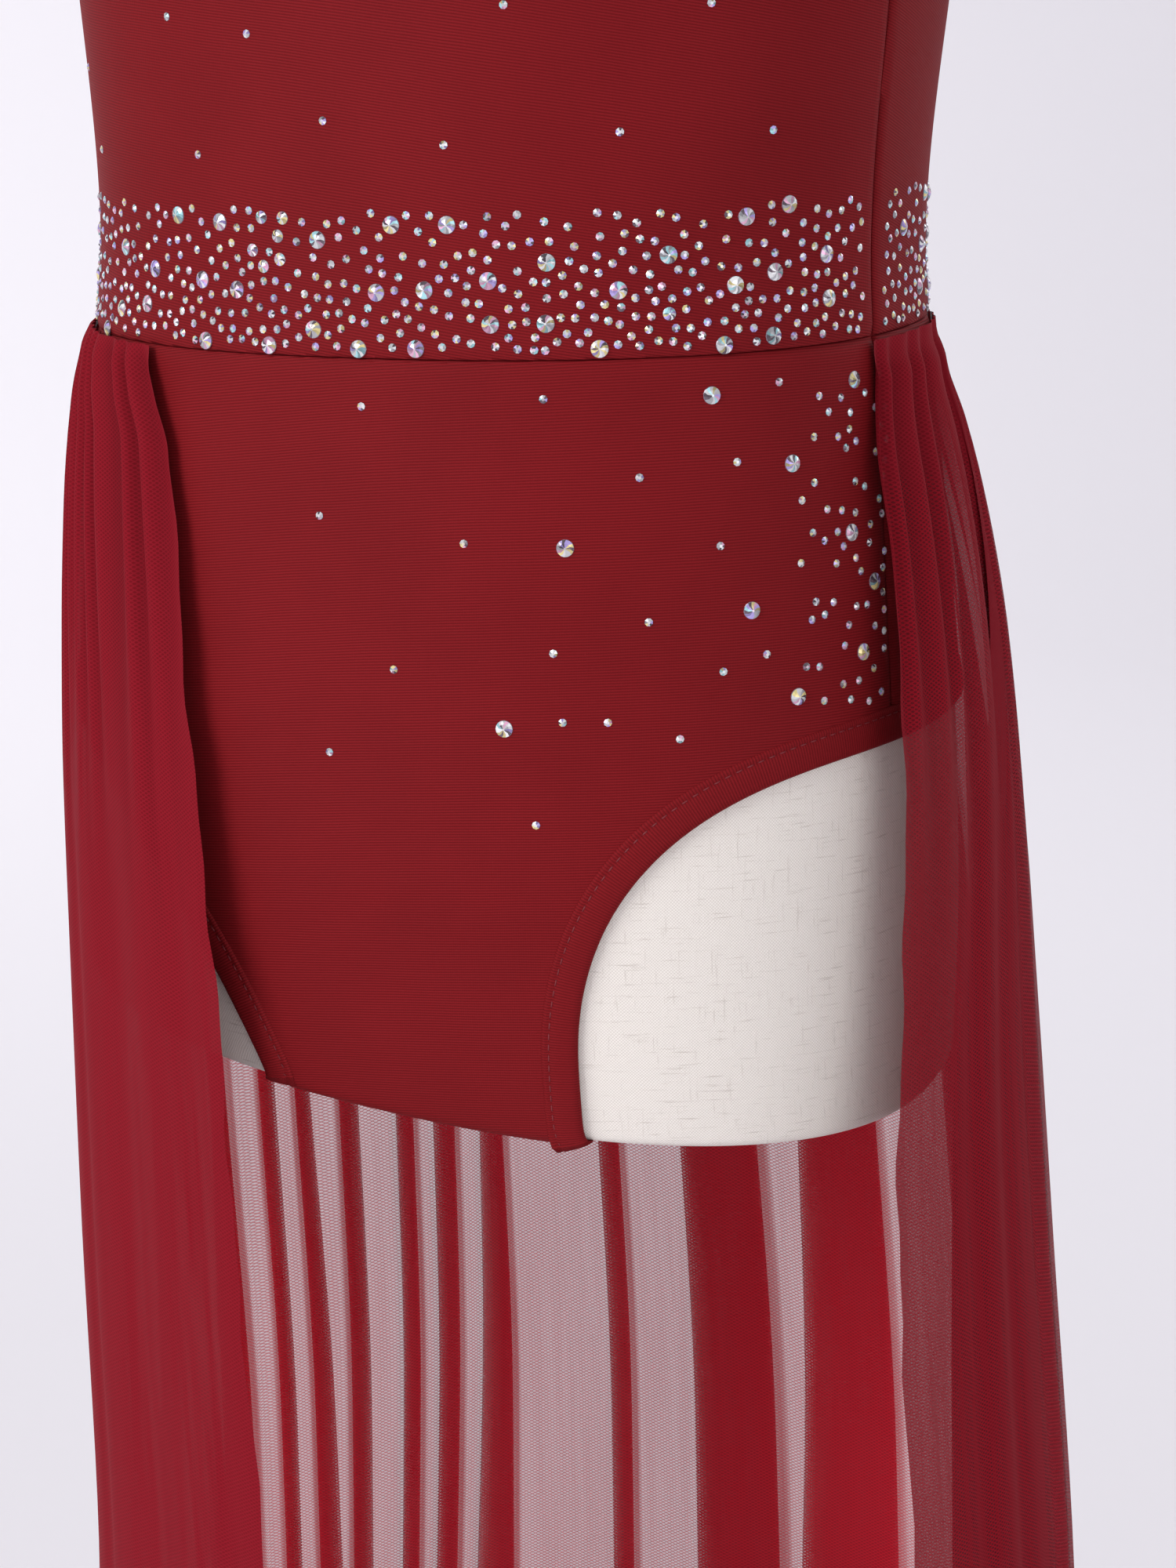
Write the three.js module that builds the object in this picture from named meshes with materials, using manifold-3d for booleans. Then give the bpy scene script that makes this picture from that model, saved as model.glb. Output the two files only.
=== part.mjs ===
// Lyrical dance dress on a limbless dress form, in millimetres, +Z up.
// +X is the wearer's left, -Y is the front. The body axis is X = 0, Y = 0 while building.
// The leotard panels are 1.2 mm walls worked out from the form's own sections.
import * as THREE from "three";
import Module from "manifold-3d";

// Main sizes
const COLUMNS = 40;              // points round each body section
const SQUARE = 2.25;             // squareness of the body sections, 2 is an ellipse
const CLOTH_GAP = 0.5;           // form to the inside of the cloth
const CLOTH_WALL = 1.2;          // leotard cloth
const BAND_WALL = 1.9;           // turned leg edge, two layers
const SEAM_GAP = 0.3;            // panel to panel
const NECK_TOP = 1215;
const WAIST_Z = 856.2;           // waist seam at the middle
const WAIST_TILT = 0.026;        // the seam rises to the wearer's left
const CUT_Z = 677.8;             // flat underside of the form at the axis
const CUT_TILT_X = -0.089;
const CUT_TILT_Y = 0.064;

// Side seam, seen from above: straight across the middle, then slanting forward
const SEAM_STRAIGHT = 60;
const SEAM_SLANT = 0.507;

// Neck and armholes
const NECK = { halfWidth: 66, front: 63, back: 62 };
const ARMHOLE = { y: 2, z: 1092, halfDepth: 40, halfHeight: 42 };

// Leg openings in the front view: outer limit, width, foot, height and roundness of the curve
const LEG_LIMIT = 118;
const LEG_LEFT = { width: 67, foot: 690, height: 73.5, round: 2.1 };
const LEG_RIGHT = { width: 91, foot: 660, height: 103.5, round: 1.5 };
const LEG_BAND = 8;
const LEG_STEPS = 15;

// Skirt
const SKIRT_WALL = 1.2;
const SKIRT_SQUARE = 2.25;
const HEM_Z = 240;
const GATHER_PER_FOLD = 2;       // small gathers of each fold at the seam
const GATHER_RISE = 1.6;         // height of a small gather
const FOLD_STEPS = 8;            // columns of a plain fold
const WIDE_FOLD_STEPS = 16;      // columns of the box fold

// Stand
const POLE_AT = { x: -88, y: -25 };
const POLE_RADIUS = 8;
const SOCKET_DEPTH = 25;
const BASE_RADIUS = 150;
const BASE_THICK = 8;
const BOSS_RADIUS = 20;
const BOSS_HEIGHT = 24;

const BODY_COLUMNS = ["z", "halfWidth", "front", "back"];
const BODY = [
  [630, 104, 64, 72],
  [655, 111, 72, 80],
  [670, 115, 79, 89],
  [700, 115, 84, 93],
  [745, 113.5, 87, 93],
  [800, 109, 87, 85],
  [850, 103.8, 85, 75],
  [880, 101.6, 83, 73],
  [936, 106, 83, 77],
  [990, 115, 87, 85],
  [1040, 125, 88, 92],
  [1085, 134, 78, 86],
  [1105, 131, 66, 75],
  [1120, 118, 57, 67],
  [1132, 97, 51, 60],
  [1142, 74, 47, 54],
  [1152, 58, 45, 50],
  [1165, 51, 44, 47],
  [1180, 48, 44, 46],
  [1215, 46, 45, 45],
];
const BODY_ROWS = [
  630, 655, 666, 680, 705, 735, 770, 805, 835, 860, 885, 920, 960, 1000, 1040, 1066, 1085, 1097, 1107,
  1116, 1124, 1132, 1140, 1148, 1158, 1172, 1190, 1215,
];

const SKIRT_COLUMNS = ["z", "halfWidth", "front", "back", "centre"];
const SKIRT = [
  [857, 107.4, 88.3, 78.6, 0],
  [850, 109.6, 90, 81, -0.8],
  [840, 112.4, 91.7, 84.5, -1.5],
  [820, 116.9, 94, 90, -0.3],
  [800, 120, 96, 94.5, 1.2],
  [780, 122.3, 98, 98.5, 2.5],
  [740, 125.6, 100.5, 104.5, 4.5],
  [700, 127.8, 102, 107.5, 6.6],
  [620, 131.3, 104.5, 111, 10.7],
  [511, 135.4, 107.5, 114, 16.6],
  [HEM_Z, 146, 116, 123, 19.5],
];
const SKIRT_ROWS = [856, 850, 840, 822, 795, 750, 680, 580, 420, HEM_Z];

// Free front edges of the skirt, as angles round it from the middle front
const EDGE_COLUMNS = ["z", "left", "right"];
const EDGES = [
  [857, 76, -32.5],
  [843, 74.3, -27.5],
  [831, 72.3, -23.9],
  [801, 70, -21.7],
  [764, 68, -20],
  [719, 65, -18.2],
  [663, 61.7, -16.7],
  [594, 60.4, -15.6],
  [540, 59.8, -14.9],
  [HEM_Z, 58.5, -13],
];

// Folds from the left front edge round the back to the right front edge.
// end: angle where the fold ends at the level FOLD_LEVEL; deep: in and out; lean: how far the sides overhang
const FOLD_LEVEL = 560;
const FOLD_COLUMNS = ["end", "deep", "lean"];
const FOLDS = [
  [71, 6, 0.6],
  [82, 8, 0.9],
  [93, 9, 0.9],
  [104, 8, 0.8],
  [116, 9, 0.9],
  [128, 8, 0.7],
  [141, 9, 0.9],
  [153, 7, 0.8],
  [184, 8, 3.6],
  [214, 7, 0.9],
  [226, 8, 0.9],
  [240, 8, 0.9],
  [252, 8, 0.9],
  [264, 8, 0.8],
  [275, 7, 0.8],
  [287, 5, 0.6],
  [299, 4, 0.5],
  [313, 3, 0.4],
  [329, 2.4, 0.3],
  [345, 2, 0.2],
];

const wasm = await Module();
wasm.setup();

// Named rows from a table
function rowsOf(columns, table) {
  return table.map((row) => Object.fromEntries(columns.map((name, i) => [name, row[i]])));
}

// Smooth curve through a table that never overshoots
function curveOf(rows, across, up) {
  const list = [...rows].sort((p, q) => p[across] - q[across]);
  const x = list.map((p) => p[across]);
  const y = list.map((p) => p[up]);
  const n = x.length;
  const slope = [];
  for (let i = 0; i < n - 1; i += 1) {
    slope.push((y[i + 1] - y[i]) / (x[i + 1] - x[i]));
  }
  const m = [slope[0]];
  for (let i = 1; i < n - 1; i += 1) {
    const p = slope[i - 1];
    const q = slope[i];
    m.push(p * q <= 0 ? 0 : (2 * p * q) / (p + q));
  }
  m.push(slope[n - 2]);
  return (at) => {
    const v = Math.min(Math.max(at, x[0]), x[n - 1]);
    let i = 0;
    while (i < n - 2 && v > x[i + 1]) {
      i += 1;
    }
    const h = x[i + 1] - x[i];
    const u = (v - x[i]) / h;
    const a = (1 + 2 * u) * (1 - u) * (1 - u) * y[i];
    const b = u * (1 - u) * (1 - u) * h * m[i];
    const c = u * u * (3 - 2 * u) * y[i + 1];
    const d = u * u * (u - 1) * h * m[i + 1];
    return a + b + c + d;
  };
}

const body = rowsOf(BODY_COLUMNS, BODY);
const bodyWidth = curveOf(body, "z", "halfWidth");
const bodyFront = curveOf(body, "z", "front");
const bodyBack = curveOf(body, "z", "back");

function power(value, p) {
  return Math.sign(value) * Math.pow(Math.abs(value), p);
}

// A point of the body, moved out along the surface's own normal
function bodyPoint(angle, z, out) {
  const e = 2 / SQUARE;
  const a = bodyWidth(z);
  const facesFront = Math.cos(angle) > 0;
  const deep = facesFront ? bodyFront : bodyBack;
  const b = deep(z);
  const x = a * power(Math.sin(angle), e);
  const y = -b * power(Math.cos(angle), e);
  const step = 0.5;
  const da = (bodyWidth(z + step) - bodyWidth(z - step)) / (2 * step);
  const db = (deep(z + step) - deep(z - step)) / (2 * step);
  const fx = power(x / a, SQUARE - 1) / a;
  const fy = power(y / b, SQUARE - 1) / b;
  const fz = -(Math.pow(Math.abs(x / a), SQUARE) * da) / a - (Math.pow(Math.abs(y / b), SQUARE) * db) / b;
  const normal = new THREE.Vector3(fx, fy, fz).normalize();
  return new THREE.Vector3(x, y, z).addScaledVector(normal, out);
}

// Solids from lists of points and triangles
function solidFrom(points, triangles) {
  const vertProperties = new Float32Array(points.length * 3);
  points.forEach((p, i) => vertProperties.set([p.x, p.y, p.z], i * 3));
  return new wasm.Manifold(
    new wasm.Mesh({ numProp: 3, vertProperties, triVerts: Uint32Array.from(triangles) })
  );
}

// Rings of equal length, closed at both ends
function solidFromRings(rings) {
  const count = rings[0].length;
  const points = rings.flat();
  const triangles = [];
  for (let r = 0; r < rings.length - 1; r += 1) {
    for (let i = 0; i < count; i += 1) {
      const j = (i + 1) % count;
      const a = r * count + i;
      const b = r * count + j;
      const c = a + count;
      const d = b + count;
      triangles.push(a, b, d, a, d, c);
    }
  }
  const low = new THREE.Vector3();
  const high = new THREE.Vector3();
  rings[0].forEach((p) => low.addScaledVector(p, 1 / count));
  rings[rings.length - 1].forEach((p) => high.addScaledVector(p, 1 / count));
  points.push(low, high);
  const lowIndex = points.length - 2;
  const highIndex = points.length - 1;
  const last = (rings.length - 1) * count;
  for (let i = 0; i < count; i += 1) {
    const j = (i + 1) % count;
    triangles.push(lowIndex, j, i, highIndex, last + i, last + j);
  }
  return solidFrom(points, triangles);
}

// A straight prism over a flat outline, made by three's extrusion; place moves its points
function prism(outline, from, to, place) {
  const shape = new THREE.Shape(outline.map(([u, v]) => new THREE.Vector2(u, v)));
  const geometry = new THREE.ExtrudeGeometry(shape, { depth: to - from, bevelEnabled: false });
  const position = geometry.attributes.position;
  const points = [];
  const index = [];
  const seen = new Map();
  for (let i = 0; i < position.count; i += 1) {
    const u = position.getX(i);
    const v = position.getY(i);
    const w = position.getZ(i) + from;
    const key = [u.toFixed(5), v.toFixed(5), w.toFixed(5)].join();
    if (!seen.has(key)) {
      seen.set(key, points.length);
      points.push(place(u, v, w));
    }
    index.push(seen.get(key));
  }
  const solid = solidFrom(points, index);
  if (solid.volume() > 0) {
    return solid;
  }
  const turned = [];
  for (let i = 0; i < index.length; i += 3) {
    turned.push(index[i], index[i + 2], index[i + 1]);
  }
  return solidFrom(points, turned);
}

const alongX = (u, v, w) => new THREE.Vector3(w, u, v);
const alongY = (u, v, w) => new THREE.Vector3(u, w, v);
const alongZ = (u, v, w) => new THREE.Vector3(u, v, w);

function ellipse(halfWidth, lower, upper, steps) {
  const outline = [];
  for (let i = 0; i < steps; i += 1) {
    const t = (2 * Math.PI * i) / steps;
    const s = Math.sin(t);
    outline.push([halfWidth * Math.cos(t), (s < 0 ? lower : upper) * s]);
  }
  return outline;
}

// The underside of the form and of the cloth below it, moved down by drop
function belowCut(drop) {
  const reach = 300;
  const outline = [
    [-reach, -reach],
    [reach, -reach],
    [reach, reach],
    [-reach, reach],
  ];
  return prism(outline, 0, 1, (u, v, w) => {
    const top = CUT_Z + CUT_TILT_X * u + CUT_TILT_Y * v - drop;
    return new THREE.Vector3(u, v, w > 0.5 ? top : 500);
  });
}

function waistZ(x) {
  return WAIST_Z + WAIST_TILT * x;
}

// Everything above or below the waist seam
function besideWaist(above) {
  const reach = 300;
  const outline = [
    [-reach, -reach],
    [reach, -reach],
    [reach, reach],
    [-reach, reach],
  ];
  return prism(outline, 0, 1, (u, v, w) => {
    const seam = waistZ(u) + (above ? SEAM_GAP / 2 : -SEAM_GAP / 2);
    const far = above ? 1400 : 500;
    const upper = above ? far : seam;
    const lower = above ? seam : far;
    return new THREE.Vector3(u, v, w > 0.5 ? upper : lower);
  });
}

// Everything in front of the side seams, moved by shift
function frontOfSeams(shift) {
  const reach = 300;
  const far = (reach - SEAM_STRAIGHT) * SEAM_SLANT;
  const outline = [
    [-reach, -reach],
    [reach, -reach],
    [reach, -far + shift],
    [SEAM_STRAIGHT, shift],
    [-SEAM_STRAIGHT, shift],
    [-reach, -far + shift],
  ];
  return prism(outline, 500, 1400, alongZ);
}

function bodySolid(out) {
  const rings = BODY_ROWS.map((z) => {
    const ring = [];
    for (let i = 0; i < COLUMNS; i += 1) {
      ring.push(bodyPoint((2 * Math.PI * i) / COLUMNS, z, out));
    }
    return ring;
  });
  rings[rings.length - 1].forEach((p) => {
    p.z = NECK_TOP;
  });
  return solidFromRings(rings).subtract(belowCut(out));
}

// Leg opening outline in the front view, grown inward over the cloth by grow
function legOutline(side, leg, grow) {
  const edge = [];
  for (let i = 0; i <= LEG_STEPS; i += 1) {
    const turn = (Math.PI / 2) * (i / LEG_STEPS);
    const u = power(Math.sin(turn), 2 / leg.round);
    const v = power(Math.cos(turn), 2 / leg.round);
    edge.push([LEG_LIMIT - leg.width * v, leg.foot + leg.height * u]);
  }
  edge.unshift([edge[0][0], 600]);
  edge.push([260, leg.foot + leg.height]);
  const moved = edge.map((p, i) => {
    const before = edge[Math.max(i - 1, 0)];
    const after = edge[Math.min(i + 1, edge.length - 1)];
    const du = after[0] - before[0];
    const dv = after[1] - before[1];
    const long = Math.hypot(du, dv);
    return [side * (p[0] - (grow * dv) / long), p[1] + (grow * du) / long];
  });
  moved.push([side * 260, 600]);
  return moved;
}

function legCutter(side, leg, grow) {
  return prism(legOutline(side, leg, grow), -200, 200, alongY);
}

const form = bodySolid(0);
const inside = bodySolid(CLOTH_GAP);
const outside = bodySolid(CLOTH_GAP + CLOTH_WALL);
const bandOutside = bodySolid(CLOTH_GAP + BAND_WALL);
const cloth = outside.subtract(inside);
const thickCloth = bandOutside.subtract(inside);

// Front at the top is the smaller outline value because -Y is the front
const neckCutter = prism(ellipse(NECK.halfWidth, NECK.front, NECK.back, 40), 1050, 1400, alongZ);
const armOutline = ellipse(ARMHOLE.halfDepth, ARMHOLE.halfHeight, ARMHOLE.halfHeight, 36).map(([u, v]) => [
  u + ARMHOLE.y,
  v + ARMHOLE.z,
]);
const armCutter = prism(armOutline, -220, 220, alongX);
const topLimit = prism(ellipse(400, 400, 400, 8), 1190, 1400, alongZ);

const frontSide = frontOfSeams(-SEAM_GAP / 2);
const backLimit = frontOfSeams(SEAM_GAP / 2);
const bodiceCloth = cloth.intersect(besideWaist(true)).subtract(neckCutter).subtract(armCutter).subtract(topLimit);
const bodiceFront = bodiceCloth.intersect(frontSide);
const bodiceBack = bodiceCloth.subtract(backLimit);

const legs = { left: legCutter(1, LEG_LEFT, 0), right: legCutter(-1, LEG_RIGHT, 0) };
const legsWithBand = {
  left: legCutter(1, LEG_LEFT, LEG_BAND),
  right: legCutter(-1, LEG_RIGHT, LEG_BAND),
};
const legsWithGap = {
  left: legCutter(1, LEG_LEFT, LEG_BAND + SEAM_GAP),
  right: legCutter(-1, LEG_RIGHT, LEG_BAND + SEAM_GAP),
};
const lowerCloth = cloth
  .intersect(besideWaist(false))
  .subtract(legsWithGap.left)
  .subtract(legsWithGap.right);
const briefsFront = lowerCloth.intersect(frontSide);
const briefsBack = lowerCloth.subtract(backLimit);
const bandCloth = thickCloth.intersect(besideWaist(false));
const legBandLeft = bandCloth.intersect(legsWithBand.left).subtract(legs.left);
const legBandRight = bandCloth.intersect(legsWithBand.right).subtract(legs.right);

// Skirt
const skirt = rowsOf(SKIRT_COLUMNS, SKIRT);
const skirtWidth = curveOf(skirt, "z", "halfWidth");
const skirtFront = curveOf(skirt, "z", "front");
const skirtBack = curveOf(skirt, "z", "back");
const skirtCentre = curveOf(skirt, "z", "centre");
const edges = rowsOf(EDGE_COLUMNS, EDGES);
const leftEdge = curveOf(edges, "z", "left");
const rightEdge = curveOf(edges, "z", "right");
const folds = rowsOf(FOLD_COLUMNS, FOLDS);

function radians(degrees) {
  return (degrees * Math.PI) / 180;
}

// Outer limit of the skirt and its outward direction, seen from above
function skirtLimit(degrees, z) {
  const e = 2 / SKIRT_SQUARE;
  const c = Math.cos(radians(degrees));
  const s = Math.sin(radians(degrees));
  const a = skirtWidth(z);
  const b = c > 0 ? skirtFront(z) : skirtBack(z);
  const x = a * power(s, e);
  const y = -b * power(c, e);
  const nx = power(x / a, SKIRT_SQUARE - 1) / a;
  const ny = power(y / b, SKIRT_SQUARE - 1) / b;
  const long = Math.hypot(nx, ny);
  return { x: x + skirtCentre(z), y, nx: nx / long, ny: ny / long };
}

// How far the skirt's wall may go in before it meets the leotard
function roomInside(at, z) {
  if (z < 655) {
    return 100;
  }
  const wall = z > 800 ? CLOTH_WALL : BAND_WALL;
  const keep = CLOTH_GAP + wall + SKIRT_WALL / 2 + (z > 845 ? SEAM_GAP + 0.1 : 1.2);
  const a = bodyWidth(z) + keep;
  let room = 0;
  while (room < 40) {
    const x = at.x - at.nx * room;
    const y = at.y - at.ny * room;
    const b = (y < 0 ? bodyFront(z) : bodyBack(z)) + keep;
    if (Math.pow(Math.abs(x) / a, SQUARE) + Math.pow(Math.abs(y) / b, SQUARE) < 1) {
      return Math.max(room - 0.1, 0);
    }
    room += 0.1;
  }
  return room;
}

function smooth(value) {
  const u = Math.min(Math.max(value, 0), 1);
  return u * u * (3 - 2 * u);
}

// One row of the skirt's middle surface
function skirtRow(z) {
  const start = leftEdge(z);
  const sweep = 360 + rightEdge(z) - start;
  const levelStart = leftEdge(FOLD_LEVEL);
  const levelSweep = 360 + rightEdge(FOLD_LEVEL) - levelStart;
  const grown = smooth((WAIST_Z - z) / 190);
  const gather = (0.35 + 0.65 * smooth((WAIST_Z - z) / 9)) * (1 - smooth((WAIST_Z - z - 20) / 60));
  const hug = 1 - smooth((WAIST_Z - z) / 30);
  const row = [];
  let from = 0;
  folds.forEach((fold, index) => {
    const to = index === folds.length - 1 ? 1 : (fold.end - levelStart) / levelSweep;
    const steps = fold.lean > 2 ? WIDE_FOLD_STEPS : FOLD_STEPS;
    const lean = fold.lean * grown;
    for (let i = index === 0 ? 0 : 1; i <= steps; i += 1) {
      const u = i / steps;
      const along = u + (lean * Math.sin(4 * Math.PI * u)) / (4 * Math.PI);
      const share = from + (to - from) * along;
      const at = skirtLimit(start + sweep * share, z);
      const room = roomInside(at, z);
      const wave = 0.5 + 0.5 * Math.cos(2 * Math.PI * u);
      const small = 0.5 - 0.5 * Math.cos(2 * Math.PI * u * GATHER_PER_FOLD);
      const close = Math.max(room - GATHER_RISE * gather * small, 0);
      const loose = Math.min(fold.deep * grown * wave + GATHER_RISE * gather * small, room);
      const deep = close * hug + loose * (1 - hug);
      row.push(new THREE.Vector2(at.x - at.nx * deep, at.y - at.ny * deep));
    }
    from = to;
  });
  return row;
}

// The two faces of a row, half a wall to each side of it
function wallOf(row, half) {
  return row.map((p, i) => {
    const before = row[Math.max(i - 1, 0)];
    const after = row[Math.min(i + 1, row.length - 1)];
    const tangent = new THREE.Vector2().subVectors(after, before).normalize();
    return new THREE.Vector2(p.x + tangent.y * half, p.y - tangent.x * half);
  });
}

function skirtSolid() {
  const half = SKIRT_WALL / 2;
  const rings = SKIRT_ROWS.map((z) => {
    const row = skirtRow(z);
    const lift = (p) => (z === SKIRT_ROWS[0] ? waistZ(p.x) - SEAM_GAP : z);
    const outer = wallOf(row, half).map((p) => new THREE.Vector3(p.x, p.y, lift(p)));
    const inner = wallOf(row, -half).map((p) => new THREE.Vector3(p.x, p.y, lift(p)));
    return outer.concat(inner.reverse());
  });
  rings.reverse();
  const count = rings[0].length;
  const side = count / 2;
  const points = rings.flat();
  const triangles = [];
  for (let r = 0; r < rings.length - 1; r += 1) {
    for (let i = 0; i < count; i += 1) {
      const j = (i + 1) % count;
      const a = r * count + i;
      const b = r * count + j;
      triangles.push(a, b, b + count, a, b + count, a + count);
    }
  }
  const last = (rings.length - 1) * count;
  for (let i = 0; i < side - 1; i += 1) {
    const across = count - 1 - i;
    triangles.push(i, across, i + 1, i + 1, across, across - 1);
    triangles.push(last + i, last + i + 1, last + across, last + i + 1, last + across - 1, last + across);
  }
  const solid = solidFrom(points, triangles);
  if (solid.volume() > 0) {
    return solid;
  }
  const turned = [];
  for (let i = 0; i < triangles.length; i += 3) {
    turned.push(triangles[i], triangles[i + 2], triangles[i + 1]);
  }
  return solidFrom(points, turned);
}

// Stand: a pole in a socket of the form and in the boss of a round base
function rod(radius, from, to, x, y) {
  return prism(ellipse(radius, radius, radius, 28), from, to, (u, v, w) => new THREE.Vector3(u + x, v + y, w));
}

const cutAtPole = CUT_Z + CUT_TILT_X * POLE_AT.x + CUT_TILT_Y * POLE_AT.y;
const socketTop = cutAtPole + SOCKET_DEPTH;
const socket = rod(POLE_RADIUS + SEAM_GAP, 600, socketTop, POLE_AT.x, POLE_AT.y);
const pole = rod(POLE_RADIUS, BASE_THICK - 4, socketTop - SEAM_GAP, POLE_AT.x, POLE_AT.y);
const plate = prism(ellipse(BASE_RADIUS, BASE_RADIUS, BASE_RADIUS, 72), 0, BASE_THICK, alongZ);
const boss = rod(BOSS_RADIUS, BASE_THICK - 2, BOSS_HEIGHT, POLE_AT.x, POLE_AT.y);
const bossHole = rod(POLE_RADIUS + SEAM_GAP, BASE_THICK - 4 - SEAM_GAP, 60, POLE_AT.x, POLE_AT.y);
const base = plate.add(boss).subtract(bossHole);

// Meshes
const group = new THREE.Group();

function addMesh(name, solid, colour, roughness, metalness) {
  const mesh = solid.getMesh();
  const geometry = new THREE.BufferGeometry();
  const flat = new Float32Array((mesh.vertProperties.length / mesh.numProp) * 3);
  for (let i = 0; i < flat.length / 3; i += 1) {
    flat[3 * i] = mesh.vertProperties[i * mesh.numProp];
    flat[3 * i + 1] = mesh.vertProperties[i * mesh.numProp + 1];
    flat[3 * i + 2] = mesh.vertProperties[i * mesh.numProp + 2];
  }
  geometry.setAttribute("position", new THREE.BufferAttribute(flat, 3));
  geometry.setIndex(new THREE.BufferAttribute(new Uint32Array(mesh.triVerts), 1));
  const material = new THREE.MeshStandardMaterial({ color: colour, roughness, metalness });
  const object = new THREE.Mesh(geometry, material);
  object.name = name;
  group.add(object);
}

addMesh("bodice_front", bodiceFront, "#7d1f21", 0.7, 0);
addMesh("bodice_back", bodiceBack, "#74202a", 0.7, 0);
addMesh("briefs_front", briefsFront, "#7f2027", 0.7, 0);
addMesh("briefs_back", briefsBack, "#74202a", 0.7, 0);
addMesh("leg_band_left", legBandLeft, "#7f2027", 0.7, 0);
addMesh("leg_band_right", legBandRight, "#7f2027", 0.7, 0);
addMesh("skirt", skirtSolid(), "#8b202b", 0.8, 0);
addMesh("dress_form", form.subtract(socket), "#dfd8d2", 0.9, 0);
addMesh("stand_pole", pole, "#e9e8ea", 0.4, 0);
addMesh("stand_base", base, "#e9e8ea", 0.4, 0);

// Bottom centre of the whole at the origin
const box = new THREE.Box3();
group.children.forEach((child) => {
  child.geometry.computeBoundingBox();
  box.union(child.geometry.boundingBox);
});
const middle = box.getCenter(new THREE.Vector3());
group.children.forEach((child) => child.geometry.translate(-middle.x, -middle.y, -box.min.z));

export default group;
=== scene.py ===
"""Looks of a lyrical dance dress on a limbless dress form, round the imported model.

The same section tables as the part's source give the body and the skirt, in millimetres,
and every mesh is turned into metres in the row frame at the end.
+X is the wearer's left, -Y is the front, +Z is up.
"""
import math

import bmesh
import bpy
import numpy as np
from mathutils import Matrix, Vector


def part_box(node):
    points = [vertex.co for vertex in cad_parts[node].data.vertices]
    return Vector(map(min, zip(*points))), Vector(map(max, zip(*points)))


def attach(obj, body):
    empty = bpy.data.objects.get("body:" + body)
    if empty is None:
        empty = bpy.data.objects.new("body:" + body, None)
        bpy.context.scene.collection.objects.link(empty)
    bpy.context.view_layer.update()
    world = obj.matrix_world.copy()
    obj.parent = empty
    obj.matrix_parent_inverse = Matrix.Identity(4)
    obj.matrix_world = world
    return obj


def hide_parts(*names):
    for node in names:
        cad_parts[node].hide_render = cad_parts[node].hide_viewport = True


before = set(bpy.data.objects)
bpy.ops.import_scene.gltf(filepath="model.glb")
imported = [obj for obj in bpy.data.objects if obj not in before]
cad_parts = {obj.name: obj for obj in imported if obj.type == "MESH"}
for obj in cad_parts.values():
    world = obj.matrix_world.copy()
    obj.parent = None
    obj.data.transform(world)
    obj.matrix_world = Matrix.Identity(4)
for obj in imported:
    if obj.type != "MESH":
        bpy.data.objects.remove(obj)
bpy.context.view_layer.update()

MM = 0.001
TAU = 2 * math.pi
UP = np.array([0.0, 0.0, 1.0])

# Body, as in the part's source
SQUARE = 2.25            # power of the rounded outline that every level of the body and skirt has
CLOTH_GAP = 0.5
CLOTH_WALL = 1.2
CLOTH_OUT = CLOTH_GAP + CLOTH_WALL
SEAM_GAP = 0.3
NECK_TOP = 1215
WAIST_Z = 856.2
WAIST_TILT = 0.026
CUT_Z = 677.8
CUT_TILT = (-0.089, 0.064)
SEAM_STRAIGHT = 60
SEAM_SLANT = 0.507
NECK = {"half_width": 66, "front": 63, "back": 62, "lowest": 1050}
ARMHOLE = {"y": 2, "z": 1092, "half_depth": 40, "half_height": 42}
LEG_LIMIT = 118
LEGS = {
    "left": {"side": 1, "width": 67, "foot": 690, "height": 73.5, "round": 2.1},
    "right": {"side": -1, "width": 91, "foot": 660, "height": 103.5, "round": 1.5},
}
LEG_BAND = 8
RIM_ROUND = 3.0          # rounding of the form's lower and upper edges

BODY_COLUMNS = ("z", "half_width", "front", "back")
BODY = (
    (630, 104, 64, 72),
    (655, 111, 72, 80),
    (670, 115, 79, 89),
    (700, 115, 84, 93),
    (745, 113.5, 87, 93),
    (800, 109, 87, 85),
    (850, 103.8, 85, 75),
    (880, 101.6, 83, 73),
    (936, 106, 83, 77),
    (990, 115, 87, 85),
    (1040, 125, 88, 92),
    (1085, 134, 78, 86),
    (1105, 131, 66, 75),
    (1120, 118, 57, 67),
    (1132, 97, 51, 60),
    (1142, 74, 47, 54),
    (1152, 58, 45, 50),
    (1165, 51, 44, 47),
    (1180, 48, 44, 46),
    (1215, 46, 45, 45),
)

# Skirt, as in the part's source
HEM_Z = 240
SKIRT_COLUMNS = ("z", "half_width", "front", "back", "centre")
SKIRT = (
    (857, 107.4, 88.3, 78.6, 0),
    (850, 109.6, 90, 81, -0.8),
    (840, 112.4, 91.7, 84.5, -1.5),
    (820, 116.9, 94, 90, -0.3),
    (800, 120, 96, 94.5, 1.2),
    (780, 122.3, 98, 98.5, 2.5),
    (740, 125.6, 100.5, 104.5, 4.5),
    (700, 127.8, 102, 107.5, 6.6),
    (620, 131.3, 104.5, 111, 10.7),
    (511, 135.4, 107.5, 114, 16.6),
    (HEM_Z, 146, 116, 123, 19.5),
)
EDGE_COLUMNS = ("z", "left", "right")
EDGES = (
    (857, 76, -32.5),
    (843, 74.3, -27.5),
    (831, 72.3, -23.9),
    (801, 70, -21.7),
    (764, 68, -20),
    (719, 65, -18.2),
    (663, 61.7, -16.7),
    (594, 60.4, -15.6),
    (540, 59.8, -14.9),
    (HEM_Z, 58.5, -13),
)
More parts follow.
